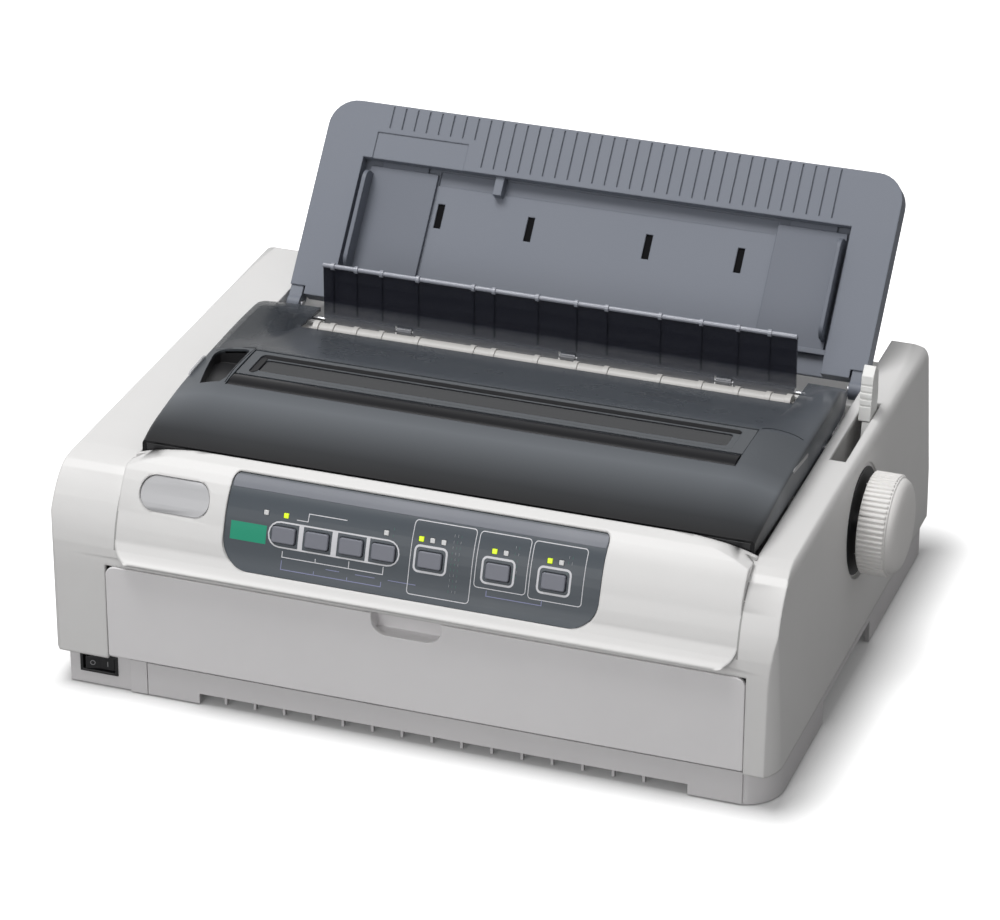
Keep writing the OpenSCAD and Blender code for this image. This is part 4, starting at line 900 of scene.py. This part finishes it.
def edge_guide(side, x0, x1, fence):
    """A plate from x0 to x1 with a tongue under the shelf and a fence over the span of fence."""
    plate = joined("plate", [slab(x0, 9, x1, 74.3, -7.2, -5.4, 1)])
    tongue = slab(x0 + 6, 73, x1 - 6, 79, -7.1, -5.8)
    high = across(rounded(16, -7.1, 70, 5, [0.5, 0.5, 6, 6]), *fence)
    me = carve("guide_fence_" + side, plate, add=[[high], [tongue]])
    o = finish_piece(me, "guide_fence_" + side, PLATE, "edge_guide_" + side)
    weighted(o)
    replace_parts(o, "edge_guide_" + side)


edge_guide("left", -130.4, -92.3, (-130.4, -128.2))
edge_guide("right", 94.5, 131.6, (129.4, 131.6))

FLAP_X, FLAP_Y = 127.7, (200.6, 202.4)
FLAP_PIVOTS = (-83, 6.5, 90)
RING_X = [-119, -106, -92, -72, -41.6, -30.4, -6.8, 14.2, 30.6, 59, 80.8, 100.2, 116.7]


def flap():
    """The smoked flap: pane with pivots below, ribs and an apron on its face, and a roll on top in a pale
    colour that paints its highlight.
    """
    y0, y1 = FLAP_Y
    parts = [side_prism([(y0, 122.4), (y1, 122.4), (y1, 150.6), (y0, 150.6)], -FLAP_X, FLAP_X)]
    for x in FLAP_PIVOTS:
        parts.append(rod_part((201.6, 119.6), 2.4, x - 4, x + 4))
        parts.append(box_part((x - 4, y0, 120.4), (x + 4, y1, 122.4)))
    parts += [box_part((x - 3.5, 199.9, 124.5), (x - 2.8, y0, 150)) for x in RING_X]
    apron = ((-127.4, -88), (-78, 1.5), (11.5, 85), (95, 127.4))
    parts += [box_part((a, 199.9, 117.8), (b, 200.5, 122.6)) for a, b in apron]
    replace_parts(piece("exit_flap_panel", parts, FLAP, "exit_flap"), "exit_flap")
    # The roll and its knobs are pale to paint the highlight along the flap's top edge.
    roll = [rod_part((y0, 151.2), 1.2, -FLAP_X, FLAP_X)]
    roll += [rod_part((200.4, 151.2), 1.9, x - 4, x - 2.2) for x in RING_X]
    piece("exit_flap_roll", roll, ROLL, "exit_flap")


flap()

# ---------------------------------------------------------------- CAD nodes with rounded edges


def bezel_corner(side):
    """What the bezel's dropped upper corner leaves out, from its front to its rear edge."""
    low = [(112, 125.9), (120, 125.1), (128, 124.5), (136, 123.7), (143, 122.7), (149, 121.5), (154, 120.2),
           (157, 119.2), (159.5, 118.3)]
    outline = [(side * x, z) for x, z in low + [(162, 118.3), (162, 132), (112, 132)]]
    return prism(outline, -12, 31.3, lambda u, v, w: P(u, w, v))


special = {"upper_case": {"smooth": 24, "cut": [[bezel_corner(side)] for side in (-1, 1)]},
           "front_door": {"material": DOOR_PAINTED_LIGHT}, "platen_knob": {"material": KNOB}}
for n, w in [("base_tray", 0), ("lower_front_panel", 0.4), ("upper_case", 0), ("control_panel", 0),
             ("badge_plate", 0.35), ("front_door", 0.45), ("paper_lever", 0.3), ("power_rocker", 0.4),
             ("switch_housing", 0.3), ("tear_bar", 0.15), ("platen_knob", 0.25), ("interface_ports", 0.3),
             ("power_inlet", 0.3), ("rubber_feet", 0.5)]:
    refine(n, w, **special.get(n, {}))

ROCKER_AT, ROCKER_LEAN = (-170.8, 5.4, 12.7), math.radians(6)


def rocker_marks():
    """A ring and a bar, the plain marks for off and on, on the rocker's two halves."""
    c, s = math.cos(ROCKER_LEAN), math.sin(ROCKER_LEAN)
    x0, y0, z0 = ROCKER_AT

    def face(side):
        def f(u, v, w):
            x = side * 3.9 + u
            y = -4.1 - 0.1316 * (abs(x) - 3.8) - w
            return P(x0 + x * c - y * s, y0 + x * s + y * c, z0 + v)
        return f

    top, sunk = 0.12, -0.2
    circles = [[face(-1)(u, v, w) for u, v in ring((0, 0), r, 20)] for w in (top, sunk) for r in (1.35, 0.95)]
    off = strip(list(zip(*circles)), True)
    on = prism([(-0.22, -1.4), (0.22, -1.4), (0.22, 1.4), (-0.22, 1.4)], sunk, top, face(1))
    piece("rocker_marks", [off, on], MARK, "power_rocker")


rocker_marks()

KNOB_AXIS = (149.4, CASE_H - 39.3)


def bezel_shade_line(x0, x1):
    """Painted shade: a soft grey line on the cheek where the bezel stands on it."""
    face = [(z, y) for y, z in bezier((-2, 66), (-1.4, 92), (6, 107), (20, CASE_H - 5.7), 10)]
    rows = []
    for i in range(14):
        z = 80 + 2.5 * i
        y, slope = lookup(z, face), math.atan2(1, lookup(z + 0.5, face) - lookup(z - 0.5, face))
        rows.append([P(x, y - math.sin(slope) * d, z + math.cos(slope) * d)
                     for d in (0.08, -0.3) for x in (x0, x1)])
    return strip(rows)


def knob_shade_ring():
    """Painted shade: a black ring behind the knob darkens the gap between the knob and the case."""
    washer = joined("knob_shade_ring", [rod_part(KNOB_AXIS, 27.4, 177.15, 177.7, 48)])
    me = carve("knob_shade_ring", washer, cut=[[rod_part(KNOB_AXIS, 6.4, 176, 179)]])
    finish_piece(me, "knob_shade_ring", BLACK, "chassis")


# Painted shade along both edges of the bezel.
piece("bezel_shade_lines", [bezel_shade_line(a, b) for a, b in both_sides(158.4, 159.3)], PAINTED_SHADE_GREY, "chassis")
knob_shade_ring()
for i in range(1, 8):
    refine(f"button_{i}", 0.6, segments=3)
